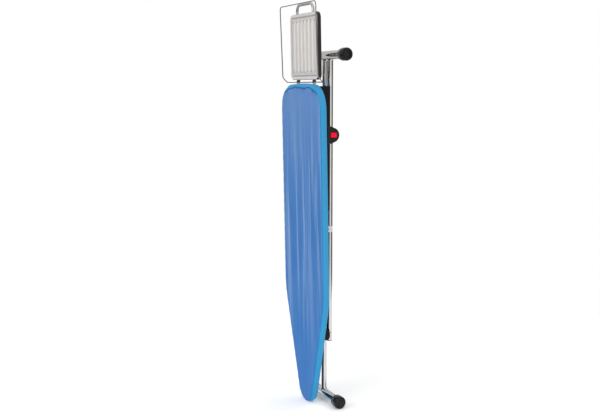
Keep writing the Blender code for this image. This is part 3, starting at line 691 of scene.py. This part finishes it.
def cover_rings(outline, run, at_end):
    """Rings of board points: out across the face, round the edge, back along the side and in behind."""
    normals = inward(outline)
    spine = spine_of(outline)
    pucker = gather(run)
    # Pulls that fan in from the edge, with larger ones at the square end
    tug = 0.00028 * np.sin(2 * math.pi * run / 0.041 + 2.0 * np.sin(run * 9.0))
    tug += 0.00035 * np.sin(2 * math.pi * run / 0.093 + 1.0) * smoothstep(1.05, 1.16, outline[:, 1])
    # The cloth stays in front of the iron rest's rods
    rod_gap = smoothstep(0.0080, 0.0170, np.abs(np.abs(outline[:, 0]) - ROD_X))
    near_rod = (outline[:, 1] > 1.15) & (rod_gap < 1)
    deepest = np.where(near_rod, 0.0246 + 0.0062 * rod_gap, 1.0)
    rings = []

    def ring(flat, depth):
        rings.append(board_ring(flat, np.minimum(depth, deepest)))

    fold = 0.0022 * np.sin(2 * math.pi * (outline[:, 0] + 0.01) / 0.13) - 0.0009 * np.sin(outline[:, 0] * 97)
    edge_inset = EDGE_INSET + at_end * (END_INSET + fold)
    edge_drop = EDGE_DROP + END_DROP * at_end
    edge = outline + normals * edge_inset[:, None]
    for share in np.linspace(0, 1, FRONT_RINGS) ** 0.86:
        flat = spine + (edge - spine) * share
        reach = np.linalg.norm(edge - flat, axis=1)
        crown = 0.0006 * np.exp(-((reach / 0.03) ** 2))
        pulls = tug * np.exp(-reach / 0.022)
        dent = 0.0019 * at_end * np.exp(-(((reach - 0.0012) / 0.0030) ** 2))
        wrinkles = wrinkle_height(flat[:, 0], flat[:, 1]) * smoothstep(0, 0.02, reach)
        ring(flat, COVER_FACE + crown - wrinkles - pulls + dent)
    face = rings[-1][:, 1].copy()
    for step in range(1, EDGE_STEPS + 1):
        turn = math.pi / 2 * step / EDGE_STEPS
        inset = edge_inset * (1 - math.sin(turn))
        ring(outline + normals * inset[:, None], face + edge_drop * (1 - math.cos(turn)))
    start = face + edge_drop
    for share in np.linspace(0, 1, 9)[1:]:
        puff = 0.0007 * math.sin(math.pi * share) + 0.0004 * (pucker - 0.5) * share
        ring(outline - normals * puff[:, None], start + (SKIRT_END - start) * share)
    sag = -0.0004 * (pucker - 0.5)
    for inset, depth in arc((HEM_ROUND, SKIRT_END), HEM_ROUND, 180, 90, 6)[1:]:
        ring(outline + normals * (inset + sag)[:, None], depth - HEM_LIFT)
    for inset, depth in HEM_PROFILE:
        weight = smoothstep(0.004, 0.022, inset)
        wave = (pucker - 0.55) * 0.0021 * weight
        side = (pucker - 0.5) * 0.0012 * weight
        ring(outline + normals * (inset + side)[:, None], depth + wave - HEM_LIFT)
    # Both halves of the face meet in the same wrinkles
    rings[0][:, 1] = COVER_FACE - wrinkle_height(rings[0][:, 0], rings[0][:, 2])
    return rings


def build_cover():
    outline = board_outline(AROUND)
    run = np.cumsum(np.linalg.norm(np.roll(outline, -1, axis=0) - outline, axis=1))
    at_end = smoothstep(1.165, 1.197, outline[:, 1])
    rings = cover_rings(outline, run, at_end)
    shape = shape_of_board(loft(rings))
    shape[0][:, 2] = np.maximum(shape[0][:, 2], FLOOR_CLEARANCE)
    # The side of the cover takes its painted brighter blue, a lit copy of the cotton, from this ring on
    first = FRONT_RINGS + np.round(4 - 4 * at_end).astype(int)
    lit_side_of = [int(number >= start_ring) for number in range(len(rings) - 1) for start_ring in first]
    second = (LIT_SIDE_COTTON, lit_side_of)
    cover = piece("fitted_cover", shape, "cover_cotton", "board", ["cover"], weld=2e-6, second=second)
    thickened(cover, "cloth_thickness", COVER_THICKNESS)
    hem_line = rings[-1] + np.array([0, 0.0002, 0])
    cord = pipe(to_world(hem_line), HEM_CORD_RADIUS + 0.0005 * gather(run), 10, closed=True)
    hem = piece("cover_drawn_hem", cord, "cover_cotton", "board")


PAD_RINGS = 26
PAD_EDGE = 0.0026
PAD_INSET = 0.0070


def pad_rings(outline, front, back):
    """Rings of the pad, its edges round: out across its front, round, and in across its back."""
    spine, normals = spine_of(outline), inward(outline)
    inner = outline + normals * PAD_EDGE
    middle, half = (front + back) / 2, (back - front) / 2
    shares = np.linspace(0, 1, PAD_RINGS)
    rings = [board_ring(spine + (inner - spine) * share, front) for share in shares]
    for inset, depth in arc((PAD_EDGE, middle), (PAD_EDGE, half), 270, 90, 10)[1:-1]:
        rings.append(board_ring(outline + normals * inset, depth))
    for share in shares[::-1]:
        ring = board_ring(spine + (inner - spine) * share, back)
        # The felt bulges a little into the openings of the mesh
        wave = 2 * math.pi / 0.02
        ring[:, 1] += 0.0003 * np.sin(ring[:, 0] * wave) * np.sin(ring[:, 2] * 2 * wave)
        rings.append(ring)
    return rings


def build_pad():
    outline = board_outline(280)
    # It stops short of the crease at the square end
    inset = PAD_INSET + 0.0150 * smoothstep(1.150, 1.190, outline[:, 1])
    outline = outline + inward(outline) * inset[:, None]
    shape = shape_of_board(loft(pad_rings(outline, PAD_FRONT, PAD_BACK)))
    pad = piece("felt_underlay", shape, "pad_felt", "board", ["pad"], weld=2e-6)


def inside(points, outline):
    """Which points lie inside a closed outline."""
    x, y = points[:, 0][:, None], points[:, 1][:, None]
    x0, y0 = outline[:, 0], outline[:, 1]
    x1, y1 = np.roll(x0, -1), np.roll(y0, -1)
    spans = (y0 > y) != (y1 > y)
    rise = np.where(y1 == y0, 1e-12, y1 - y0)
    crossing = (x1 - x0) * (y - y0) / rise + x0
    return (spans & (x < crossing)).sum(axis=1) % 2 == 1


MESH_PITCH = (0.0100, 0.0054)
MESH_LIMIT = 0.0135
STRAND_WIDTH = 0.0017
STRAND_TILT = 0.00035
BORDER_OUTER, BORDER_INNER = 0.0060, 0.0165


def mesh_strands():
    """(points, faces) of the expanded sheet's strands, each a bar between two knots of a diamond grid."""
    outline = board_outline(240)
    wide, tall = MESH_PITCH
    columns, rows = int(BOARD_HALF_WIDTH / wide) + 1, int(BOARD_LENGTH / tall) + 1
    grid = {}
    for row in range(rows + 1):
        for column in range(-columns, columns + 1):
            if (row + column) % 2 == 0:
                grid[(column, row)] = len(grid)
    spots = np.array([(column * wide, row * tall) for column, row in grid])
    kept = inside(spots, outline + inward(outline) * MESH_LIMIT)
    points, faces = [], []
    for (column, row), index in grid.items():
        for step in (-1, 1):
            other = grid.get((column + step, row + 1))
            if other is None or not (kept[index] and kept[other]):
                continue
            start, end = spots[index], spots[other]
            along = (end - start) / np.linalg.norm(end - start)
            side = np.array([-along[1], along[0]]) * STRAND_WIDTH / 2
            # The slit and stretched sheet leaves each strand tilted
            tilt = STRAND_TILT * step
            base = len(points)
            for depth in (MESH_FRONT, MESH_BACK):
                for end_point, shift in ((start, -1), (start, 1), (end, 1), (end, -1)):
                    flat = end_point + side * shift
                    points.append((flat[0], depth + tilt * shift, flat[1]))
            for a, b, c, d in ((0, 1, 2, 3), (7, 6, 5, 4), (0, 3, 7, 4), (1, 5, 6, 2)):
                faces.append((base + a, base + b, base + c, base + d))
    return np.array(points), faces


def build_deck():
    """Expanded steel sheet: diamond openings inside a plain border, and the bent tube round it."""
    outline = board_outline(360)
    normals = inward(outline)
    outer, inner = outline + normals * BORDER_OUTER, outline + normals * BORDER_INNER
    border = [board_ring(outer, MESH_FRONT), board_ring(outer, MESH_BACK)]
    border += [board_ring(inner, MESH_BACK), board_ring(inner, MESH_FRONT), border[0]]
    shape = shape_of_board(join_shapes(mesh_strands(), loft(border)))
    piece("deck_mesh", shape, "black_steel", "board", ["deck_panel"], sharp=30, weld=1e-7)
    path = board_ring(outline + normals * RIM_INSET, RIM_CENTRE)
    tube = pipe(to_world(path), RIM_RADIUS, 20, closed=True)
    piece("rim_tube_bent", tube, "black_steel", "board", ["rim_tube"])


# ---------------- iron rest and linen rail

RIB_PITCH = 0.033
RIB_PLACES = [RIB_PITCH * (number - 2.5) for number in range(6)]
RIB_FIRST, RIB_LAST, RIB_HALF, RIB_RISE = 1.2500, 1.4250, 0.0078, 0.0030
DIMPLE_PLACES = [RIB_PITCH * (number - 3) for number in range(7)]
DIMPLE_LINES = (RIB_FIRST - 0.0035, RIB_LAST + 0.0035)
TRAY_BEND = 0.0030
TRAY_THICKNESS = 0.0009
TRAY_GRID = (168, 120)
# (distance out, distance back) of the skirt after its bend
SKIRT_PROFILE = ((TRAY_BEND, 0.0075), (TRAY_BEND, 0.0110), (TRAY_BEND, 0.0140))
SKIRT_PROFILE += ((TRAY_BEND - 0.0006, 0.0152), (TRAY_BEND - 0.0022, 0.0158))


def tray_relief(x, along):
    """How far the ribs stand out from the tray's flat at a board point, less the dimples between them."""
    raised = np.zeros_like(x)
    for place in RIB_PLACES:
        off = np.hypot(x - place, along - np.clip(along, RIB_FIRST, RIB_LAST))
        raised = np.maximum(raised, RIB_RISE * smoothstep(RIB_HALF, RIB_HALF - 0.0038, off))
    for place in DIMPLE_PLACES:
        for centre in DIMPLE_LINES:
            off = np.hypot(x - place, along - centre)
            raised = raised - 0.0024 * smoothstep(0.0050, 0.0010, off)
    return raised


def tray_face():
    """The tray's face as a grid of board points: its columns, its rows and the points, row by row."""
    columns, rows = TRAY_GRID
    half, radius = TRAY_HALF_WIDTH - TRAY_BEND, TRAY_CORNER - TRAY_BEND
    low, high = TRAY_BOTTOM + TRAY_BEND, TRAY_TOP - TRAY_BEND
    # The rows lie closer together at both ends, where the corners are round
    along = low + (high - low) * (1 - np.cos(np.linspace(0, math.pi, rows))) / 2
    along = 0.35 * along + 0.65 * np.linspace(low, high, rows)
    from_end = np.minimum(along - low, high - along)
    chord = np.sqrt(np.maximum(radius**2 - (radius - from_end) ** 2, 0))
    widths = half - np.where(from_end < radius, radius - chord, 0)
    x = np.linspace(-1, 1, columns)[None, :] * widths[:, None]
    place = np.broadcast_to(along[:, None], x.shape)
    border = 0.002 + np.minimum(widths[:, None] - np.abs(x), np.minimum(place - low, high - place))
    lip = 0.0016 * smoothstep(0.0105, 0.0065, border)
    groove = 0.0018 * np.exp(-(((border - 0.0130) / 0.0018) ** 2))
    depth = TRAY_FACE + 0.0020 - tray_relief(x, place) - lip + groove
    return np.stack([x, depth, place], axis=2).reshape(-1, 3)


def build_tray():
    """The pressed tray: a ribbed flat inside a raised border, and a skirt turned back."""
    columns, rows = TRAY_GRID
    points = tray_face()
    corners = [row * columns + column for row in range(rows - 1) for column in range(columns - 1)]
    faces = [(a, a + 1, a + columns + 1, a + columns) for a in corners]
    loop = list(range(columns))
    loop += [row * columns + columns - 1 for row in range(1, rows)]
    loop += [(rows - 1) * columns + column for column in range(columns - 2, -1, -1)]
    loop += [row * columns for row in range(rows - 2, 0, -1)]
    rim = points[loop]
    outwards = -inward(rim[:, [0, 2]])
    to_end = np.minimum(rim[:, 2] - TRAY_BOTTOM, TRAY_TOP - rim[:, 2]) - TRAY_BEND
    at_rod = (np.abs(np.abs(rim[:, 0]) - ROD_X) < ROD_RADIUS + 0.0014) & (to_end < 0.002)
    skirt = []
    for out, back in (*arc((0, TRAY_BEND), TRAY_BEND, 270, 360, 5)[1:], *SKIRT_PROFILE):
        depth = rim[:, 1] + back
        depth = np.where(at_rod, np.minimum(depth, ROD_DEPTH - ROD_RADIUS - 0.0012), depth)
        skirt.append(board_ring(rim[:, [0, 2]] + outwards * out, depth))
    shape = shape_of_board(join_shapes((points, faces), loft([rim, *skirt])))
    # The skirt is painted nearly black, as shade and dark reflection, from two steps of its bend on
    shaded_skirt = [int(number >= len(faces) + 2 * len(loop)) for number in range(len(shape[1]))]
    second = (TRAY_SKIRT_SHADE, shaded_skirt)
    nodes = ["rest_tray"]
    tray = piece("ribbed_tray", shape, "tray_steel", "board", nodes, sharp=60, weld=1e-5, second=second)
    thickened(tray, "sheet_thickness", TRAY_THICKNESS)


def build_rest():
    """The iron rest: the bent rod, the tray on it and the sleeves at its foot."""
    route = arch(ROD_X, (ROD_START, 0, 0), (REST_TOP, ROD_BEND, 14))
    path = board_ring(resampled(route, 190, closed=False), ROD_DEPTH)
    rod = pipe(to_world(path), ROD_RADIUS, 20)
    # The rod's chrome is darkened as a painted dark reflection
    piece("iron_rest_rod", rod, "chrome", "board", ["rest_u_rod"], sharp=60, material=ROD_CHROME_DARK_REFLECTION)
    build_tray()
    build_sleeves()


def build_sleeves():
    """Black sleeves on the rods, each with a small steel clip that holds the hinge wire."""
    start, end = BOARD_LENGTH + 0.0012, TRAY_BOTTOM - 0.0010
    bore, wall, edge = ROD_RADIUS + 0.0002, 0.0058, 0.0008
    profile = [(start, bore), *arc((start + edge, wall), edge, 180, 90, 4)]
    profile += [*arc((end - edge, wall), edge, 90, 0, 4), (end, bore)]
    eye, reach, half = 0.0034, 0.0042, 0.0026
    band = arc((WIRE_DEPTH, WIRE_PLACE), eye, 90, 270, 14)
    band += arc((WIRE_DEPTH + reach, WIRE_PLACE), eye * 0.8, 270, 450, 8)
    band = resampled(band, 48)
    middle = band.mean(axis=0)
    for side, sign in SIDES:
        sleeve = shape_of_board(loft(turned(profile, "Z", (sign * ROD_X, ROD_DEPTH, 0), 32)))
        piece("rest_sleeve_" + side, sleeve, "black_plastic", "board", ["rest_block_" + side], sharp=60)
        rings = []
        for shift, size in ((-half, 0.86), (-half + 0.0004, 1.0), (half - 0.0004, 1.0), (half, 0.86)):
            flat = middle + (band - middle) * size
            rings.append(np.stack([np.full(len(flat), sign * ROD_X + shift), flat[:, 0], flat[:, 1]], axis=1))
        clip = shape_of_board(loft(rings, True, True))
        piece("wire_clip_" + side, clip, "chrome", "board", sharp=50)


def build_linen_rail():
    """The wire loop, its hinge wire low behind the sheet's plane and its uprights joggled forward."""
    low, high = WIRE_PLACE, REST_TOP + 0.001
    route = resampled(arch(WIRE_HALF_WIDTH, (low, 0.003, 6), (high, 0.014, 12)), 520)
    rise = route[:, 1] - low
    kink = 0.018
    forward = np.minimum(rise, kink) - 0.0012 * np.exp(-(((rise - kink) / 0.004) ** 2))
    forward += 0.0055 * np.maximum(rise - kink, 0) / (REST_TOP - low)
    loop = pipe(to_world(board_ring(route, WIRE_DEPTH - forward)), WIRE_RADIUS, 14, closed=True)
    # The wire's chrome is darkened as a painted dark reflection
    piece("linen_rail_wire", loop, "chrome", "linen_rail", ["linen_rail"], material=WIRE_CHROME_DARK_REFLECTION)


# ---------------- legs and feet


def world_y(depth):
    return depth + DEPTH_ORIGIN


def leg_tube(name, x, depth, far, foot_height, body, node):
    """An upright tube whose end at the foot tube follows its round side, with a smooth weld bead."""
    angles = np.linspace(0, 2 * math.pi, 40, endpoint=False)
    cos, sin = np.cos(angles), np.sin(angles)
    toward = 1 if foot_height > far else -1
    meet = foot_height - toward * np.sqrt(FOOT_RADIUS**2 - (LEG_RADIUS * sin) ** 2)
    bore = LEG_RADIUS - 0.0012

    def ring(radius, z):
        z = np.broadcast_to(z, angles.shape)
        return np.stack([x + radius * cos, world_y(depth) + radius * sin, z], axis=1)

    # The open end, from inside it to its outer edge
    profile = [(bore, 0.015), (bore, 0.0005), (bore + 0.0003, 0)]
    profile += [(LEG_RADIUS - 0.0004, 0), (LEG_RADIUS, 0.0006)]
    rings = [ring(radius, far + toward * along) for radius, along in profile]
    rings += [ring(LEG_RADIUS, far + (meet - far) * share) for share in (0.1, 0.3, 0.5, 0.7, 0.9)]
    bead = ((0.0036, 0.0), (0.0026, 0.0005), (0.0014, 0.0012), (0.0002, 0.0020), (-0.0012, 0.0024))
    rings += [ring(LEG_RADIUS + out, meet - toward * back) for back, out in bead]
    piece(name, loft(rings), "chrome", body, [node], sharp=50)


def foot(prefix, half, depth, height, body):
    """A foot tube and the two plastic cups on its ends."""
    centre = (0, world_y(depth), height)
    inside_end = half - 0.0065
    profile = [(share * inside_end, FOOT_RADIUS) for share in (-1, -0.5, 0, 0.5, 1)]
    tube = loft(turned(profile, "X", centre, 56), True, True)
    piece(prefix + "_tube_round", tube, "chrome", body, [prefix + "_tube"], sharp=50)
    # The cup's outside, as (distance along X, radius): its lip, its wall past a groove, and its stepped end
    start, edge = half - CAP_LENGTH, 0.0065
    lip = [(start + 0.0002, FOOT_RADIUS + 0.0002), (start, FOOT_RADIUS + 0.0012)]
    lip.append((start + 0.0002, CAP_RADIUS - 0.0028))
    lip += arc((start + 0.0022, CAP_RADIUS - 0.0030), 0.0020, 180, 90, 5)
    groove = ((0.0050, 0.0010), (0.0054, 0.0015), (0.0064, 0.0015), (0.0068, 0.0008), (0.0075, 0))
    wall = [(start + along, CAP_RADIUS - inset) for along, inset in groove]
    wall.append((half - 0.0150, CAP_RADIUS))
    wall += arc((half - edge, CAP_RADIUS - edge), edge, 90, 8, 9)
    step = ((0.0002, 0.0078), (0.0008, 0.0086), (0.0009, 0.0100), (0.0004, 0.0108))
    end = [(half - along, CAP_RADIUS - inset) for along, inset in step]
    end += [(half - 0.0001, 0.0085), (half, 0.0045), (half + 0.0001, 0.0002)]
    for side, sign in SIDES:
        profile = [(sign * place, radius) for place, radius in (*lip, *wall, *end)]
        cup = loft(turned(profile, "X", centre, 64), False, True)
        piece(f"{prefix}_cup_{side}", cup, "black_plastic", body, [f"{prefix}_cap_{side}"], sharp=50)


def build_legs():
    depth, far, height, body = OUTER_LEG_DEPTH, OUTER_LEG_END, OUTER_FOOT_HEIGHT, "outer_leg"
    for side, sign in SIDES:
        node = "outer_leg_tube_" + side
        leg_tube("outer_leg_" + side, sign * OUTER_LEG_X, depth, far, height, body, node)
    foot("outer_foot", OUTER_FOOT_HALF, depth, height, body)
    depth, far, height, body = INNER_LEG_DEPTH, INNER_LEG_TOP, INNER_FOOT_HEIGHT, "inner_leg"
    leg_tube("inner_leg_centre", 0, depth, far, height, body, "inner_leg_tube")
    foot("inner_foot", INNER_FOOT_HALF, depth, height, body)


# ---------------- release housing


def by_angle(outline, centre, count):
    """The outline's points at even angles round the centre."""
    rel = np.asarray(outline) - centre
    dense = resampled(rel, 2000)
    angles = np.unwrap(np.arctan2(dense[:, 1], dense[:, 0]))
    order = np.argsort(np.mod(angles, 2 * math.pi))
    turn = np.mod(angles, 2 * math.pi)[order]
    radii = np.linalg.norm(dense, axis=1)[order]
    wanted = np.linspace(0, 2 * math.pi, count, endpoint=False)
    found = np.interp(wanted, turn, radii, period=2 * math.pi)
    return np.stack([found * np.cos(wanted), found * np.sin(wanted)], axis=1) + centre


def scaled_in(outline, centre, amount):
    """The outline with each point moved towards the centre by that amount."""
    rel = outline - centre
    size = np.linalg.norm(rel, axis=1, keepdims=True)
    return centre + rel * (size - amount) / size


def side_ring(flat, x):
    """(depth, height) points as a ring in the world at that x."""
    return np.stack([np.full(len(flat), x), world_y(flat[:, 0]), flat[:, 1]], axis=1)


def build_housing():
    """The release housing: a case with a parting line, and a low frame round the button's opening."""
    height, count = HOUSING_HEIGHT, 160
    centre = np.array([BUTTON_DEPTH, height])
    step = HOUSING_ROUND_DEPTH - 0.003
    low, high = height - HOUSING_HALF_HEIGHT, height + HOUSING_HALF_HEIGHT
    bow = arc((HOUSING_ROUND_DEPTH, height), HOUSING_ROUND, -78, 78, 40)
    corners = [(HOUSING_FRONT, low, 0.002, 5), (step, low, 0.0025, 5), *[(x, y, 0, 0) for x, y in bow]]
    corners += [(step, high, 0.0025, 5), (HOUSING_FRONT, high, 0.002, 5)]
    outer = by_angle(rounded(corners), centre, count)
    wide, tall = (half + BUTTON_GAP for half in BUTTON_HALF)
    opening = by_angle(rounded_box(centre, wide, tall, 0.0035), centre, count)
    back, face = HOUSING_X
    parting, edge = back + 0.0115, 0.0032
    # (x, distance in from the outline)
    case = [(back, 0.0015), (back + 0.0012, 0), (parting - 0.0005, 0), (parting - 0.0002, 0.0005)]
    case += [(parting + 0.0002, 0.0005), (parting + 0.0005, 0), *arc((face - edge, edge), edge, 270, 360, 7)]
    rings = [side_ring(scaled_in(outer, centre, inset), x) for x, inset in case]
    for share in (0.25, 0.5, 0.72):
        rings.append(side_ring(scaled_in(outer, centre, edge) * (1 - share) + opening * share, face))
    # (distance in front of the face, distance out from the opening)
    frame_profile = ((0, 0.0022), (0.0006, 0.0018), (0.0006, 0.0008), (0.0002, 0.0002), (-0.0006, 0))
    for out, spread in frame_profile:
        rings.append(side_ring(scaled_in(opening, centre, -spread), face + out))
    rings.append(side_ring(opening, OPENING_BACK))
    case = loft(rings, True, True)
    piece("release_case", case, "black_plastic", "board", ["release_housing"], sharp=40)
    build_button(centre)


def build_button(centre):
    wide, tall = (half - 0.0002 for half in BUTTON_HALF)
    outline = by_angle(rounded_box(centre, wide, tall, 0.0032), centre, 96)
    back, face = BUTTON_X
    edge = 0.0020
    profile = [(back, 0.0004), (back + 0.0004, 0), *arc((face - edge, edge), edge, 270, 360, 6)]
    rings = [side_ring(scaled_in(outline, centre, inset), x) for x, inset in profile]
    flat = scaled_in(outline, centre, edge)
    # The face is slightly hollow, where a thumb rests
    for share in (0.2, 0.4, 0.6, 0.8, 0.97):
        rings.append(side_ring(flat + (centre - flat) * share, face - 0.0009 * smoothstep(0, 1, share)))
    button = loft(rings, True, True)
    piece("push_button", button, "red_plastic", "release_button", ["release_button"], sharp=50)


# ---------------- the CAD nodes that still show

BEVELS = {"black_steel": 0.0006, "black_plastic": 0.0006, "chrome": 0.0004}


def build_spring():
    """The return spring behind the button, built at its rest length; the real one shortens as the button goes
    in.
    """
    (first, last), y, turns, per_turn = SPRING_X, world_y(BUTTON_DEPTH), 4, 24
    path = []
    for step in range(turns * per_turn + 1):
        angle = 2 * math.pi * step / per_turn
        along = first + (last - first) * step / (turns * per_turn)
        side, up = SPRING_RADIUS * math.cos(angle), SPRING_RADIUS * math.sin(angle)
        path.append((along, y + side, HOUSING_HEIGHT + up))
    coil = pipe(path, SPRING_WIRE_RADIUS, 10)
    spring = piece("button_spring_coil", coil, "spring_steel", "board", ["button_spring"])
    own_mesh(spring)


def finish_cad_nodes():
    """Gives each CAD node that still shows its material, soft edges and smooth round sides."""
    slots = {part["node"]: part["material_slot"] for part in frame["record"]["subparts"]}
    for name, node in frame["nodes"].items():
        if node.hide_render:
            continue
        slot = slots[name]
        node.data.materials.clear()
        node.data.materials.append(MATERIALS[slot])
        if "custom_normal" in node.data.attributes:
            node.data.attributes.remove(node.data.attributes["custom_normal"])
        node.data.shade_smooth()
        weld = node.modifiers.new("weld", "WELD")
        weld.merge_threshold = 2e-6
        bevel = node.modifiers.new("soft_edges", "BEVEL")
        bevel.width = BEVELS[slot]
        bevel.segments = 2
        bevel.limit_method = "ANGLE"
        bevel.angle_limit = math.radians(38)
        bevel.use_clamp_overlap = True
        normals = node.modifiers.new("flat_faces", "WEIGHTED_NORMAL")
        normals.mode = "FACE_AREA"
        normals.weight = 60
        normals.keep_sharp = False


# ---------------- studio


def build_floor():
    size, cells = 3.8, 28
    places = [size * (i / cells - 0.5) for i in range(cells + 1)]
    points = [(x, y, 0) for x in places for y in places]
    corners = [i * (cells + 1) + j for i in range(cells) for j in range(cells)]
    faces = [(a, a + cells + 1, a + cells + 2, a + 1) for a in corners]
    mesh = bpy.data.meshes.new("studio_floor")
    mesh.from_pydata(points, [], faces)
    nodes = Nodes("studio_floor", (0.9, 0.9, 0.9), 0.9, Emission_Color=(1, 1, 1, 1), Emission_Strength=0.12)
    mottle = nodes.noise(1.5, 2.0)
    nodes.colour(nodes.mixed(mottle, (0.93, 0.93, 0.93), (0.91, 0.91, 0.915)))
    nodes.roughness(nodes.ranged(mottle, 0.3, 0.7, 0.85, 0.95))
    mesh.materials.append(nodes.material)
    new_object("studio_floor", mesh)


def area_light(name, location, target, size, energy):
    light = bpy.data.lights.new(name, "AREA")
    light.shape = "RECTANGLE"
    light.size, light.size_y = size
    light.energy = energy
    obj = new_object(name, light)
    obj.location = location
    obj.rotation_mode = "QUATERNION"
    obj.rotation_quaternion = (Vector(target) - Vector(location)).to_track_quat("-Z", "Y")
    obj.visible_camera = False


def build_world():
    """Plain white to the camera. Reflections see it dark near the horizon, with paler panels."""
    world = bpy.data.worlds.new("studio_world")
    bpy.context.scene.world = world
    world.use_nodes = True
    tree = world.node_tree
    direction = tree.nodes.new("ShaderNodeTexCoord").outputs["Generated"]

    def share_of(vector, low, high):
        """0 to 1 as the view direction's part along a vector goes from low to high."""
        along = tree.nodes.new("ShaderNodeVectorMath")
        along.operation = "DOT_PRODUCT"
        tree.links.new(direction, along.inputs[0])
        along.inputs[1].default_value = vector
        node = tree.nodes.new("ShaderNodeMapRange")
        tree.links.new(along.outputs["Value"], node.inputs["Value"])
        node.inputs["From Min"].default_value = low
        node.inputs["From Max"].default_value = high
        return node.outputs["Result"]

    def grey(value):
        return value, value, value

    room = mix(tree, share_of((0.39, 0.92, 0), 0.45, 0.60), grey(0.05), grey(0.17))
    room = mix(tree, share_of((-1, 0, 0), 0.80, 0.88), room, grey(0.65))
    room = mix(tree, share_of((0.98, -0.17, 0), 0.66, 0.74), room, grey(1.00))
    room = mix(tree, share_of((0, 0, 1), 0.40, 0.62), room, grey(1.15))
    to_camera = tree.nodes.new("ShaderNodeLightPath").outputs["Is Camera Ray"]
    shader = tree.nodes["Background"]
    tree.links.new(mix(tree, to_camera, room, grey(1.0)), shader.inputs["Color"])
    shader.inputs["Strength"].default_value = 1.0


def build_camera():
    camera = bpy.data.cameras.new("photo_camera")
    camera.lens = 58.33
    obj = new_object("photo_camera", camera)
    obj.location = (3.3164, -1.4621, 1.1915)
    heading, pitch = math.radians(67.09), math.radians(7.15)
    obj.rotation_euler = (math.pi / 2 - pitch, 0, heading)
    bpy.context.scene.camera = obj


build_cover()
build_pad()
build_deck()
build_rest()
build_linen_rail()
build_legs()
build_housing()
build_spring()
finish_cad_nodes()
build_floor()
build_world()
build_camera()
area_light("key", (1.6, -3.6, 2.6), (0, 0, 0.7), (2.2, 2.2), 50)
area_light("fill", (-2.8, -2.4, 2.2), (0, 0, 0.7), (2.0, 2.4), 12)
area_light("back", (-0.6, 3.4, 2.6), (0, 0, 0.8), (2.4, 2.0), 14)
bpy.context.scene.view_settings.view_transform = "Standard"
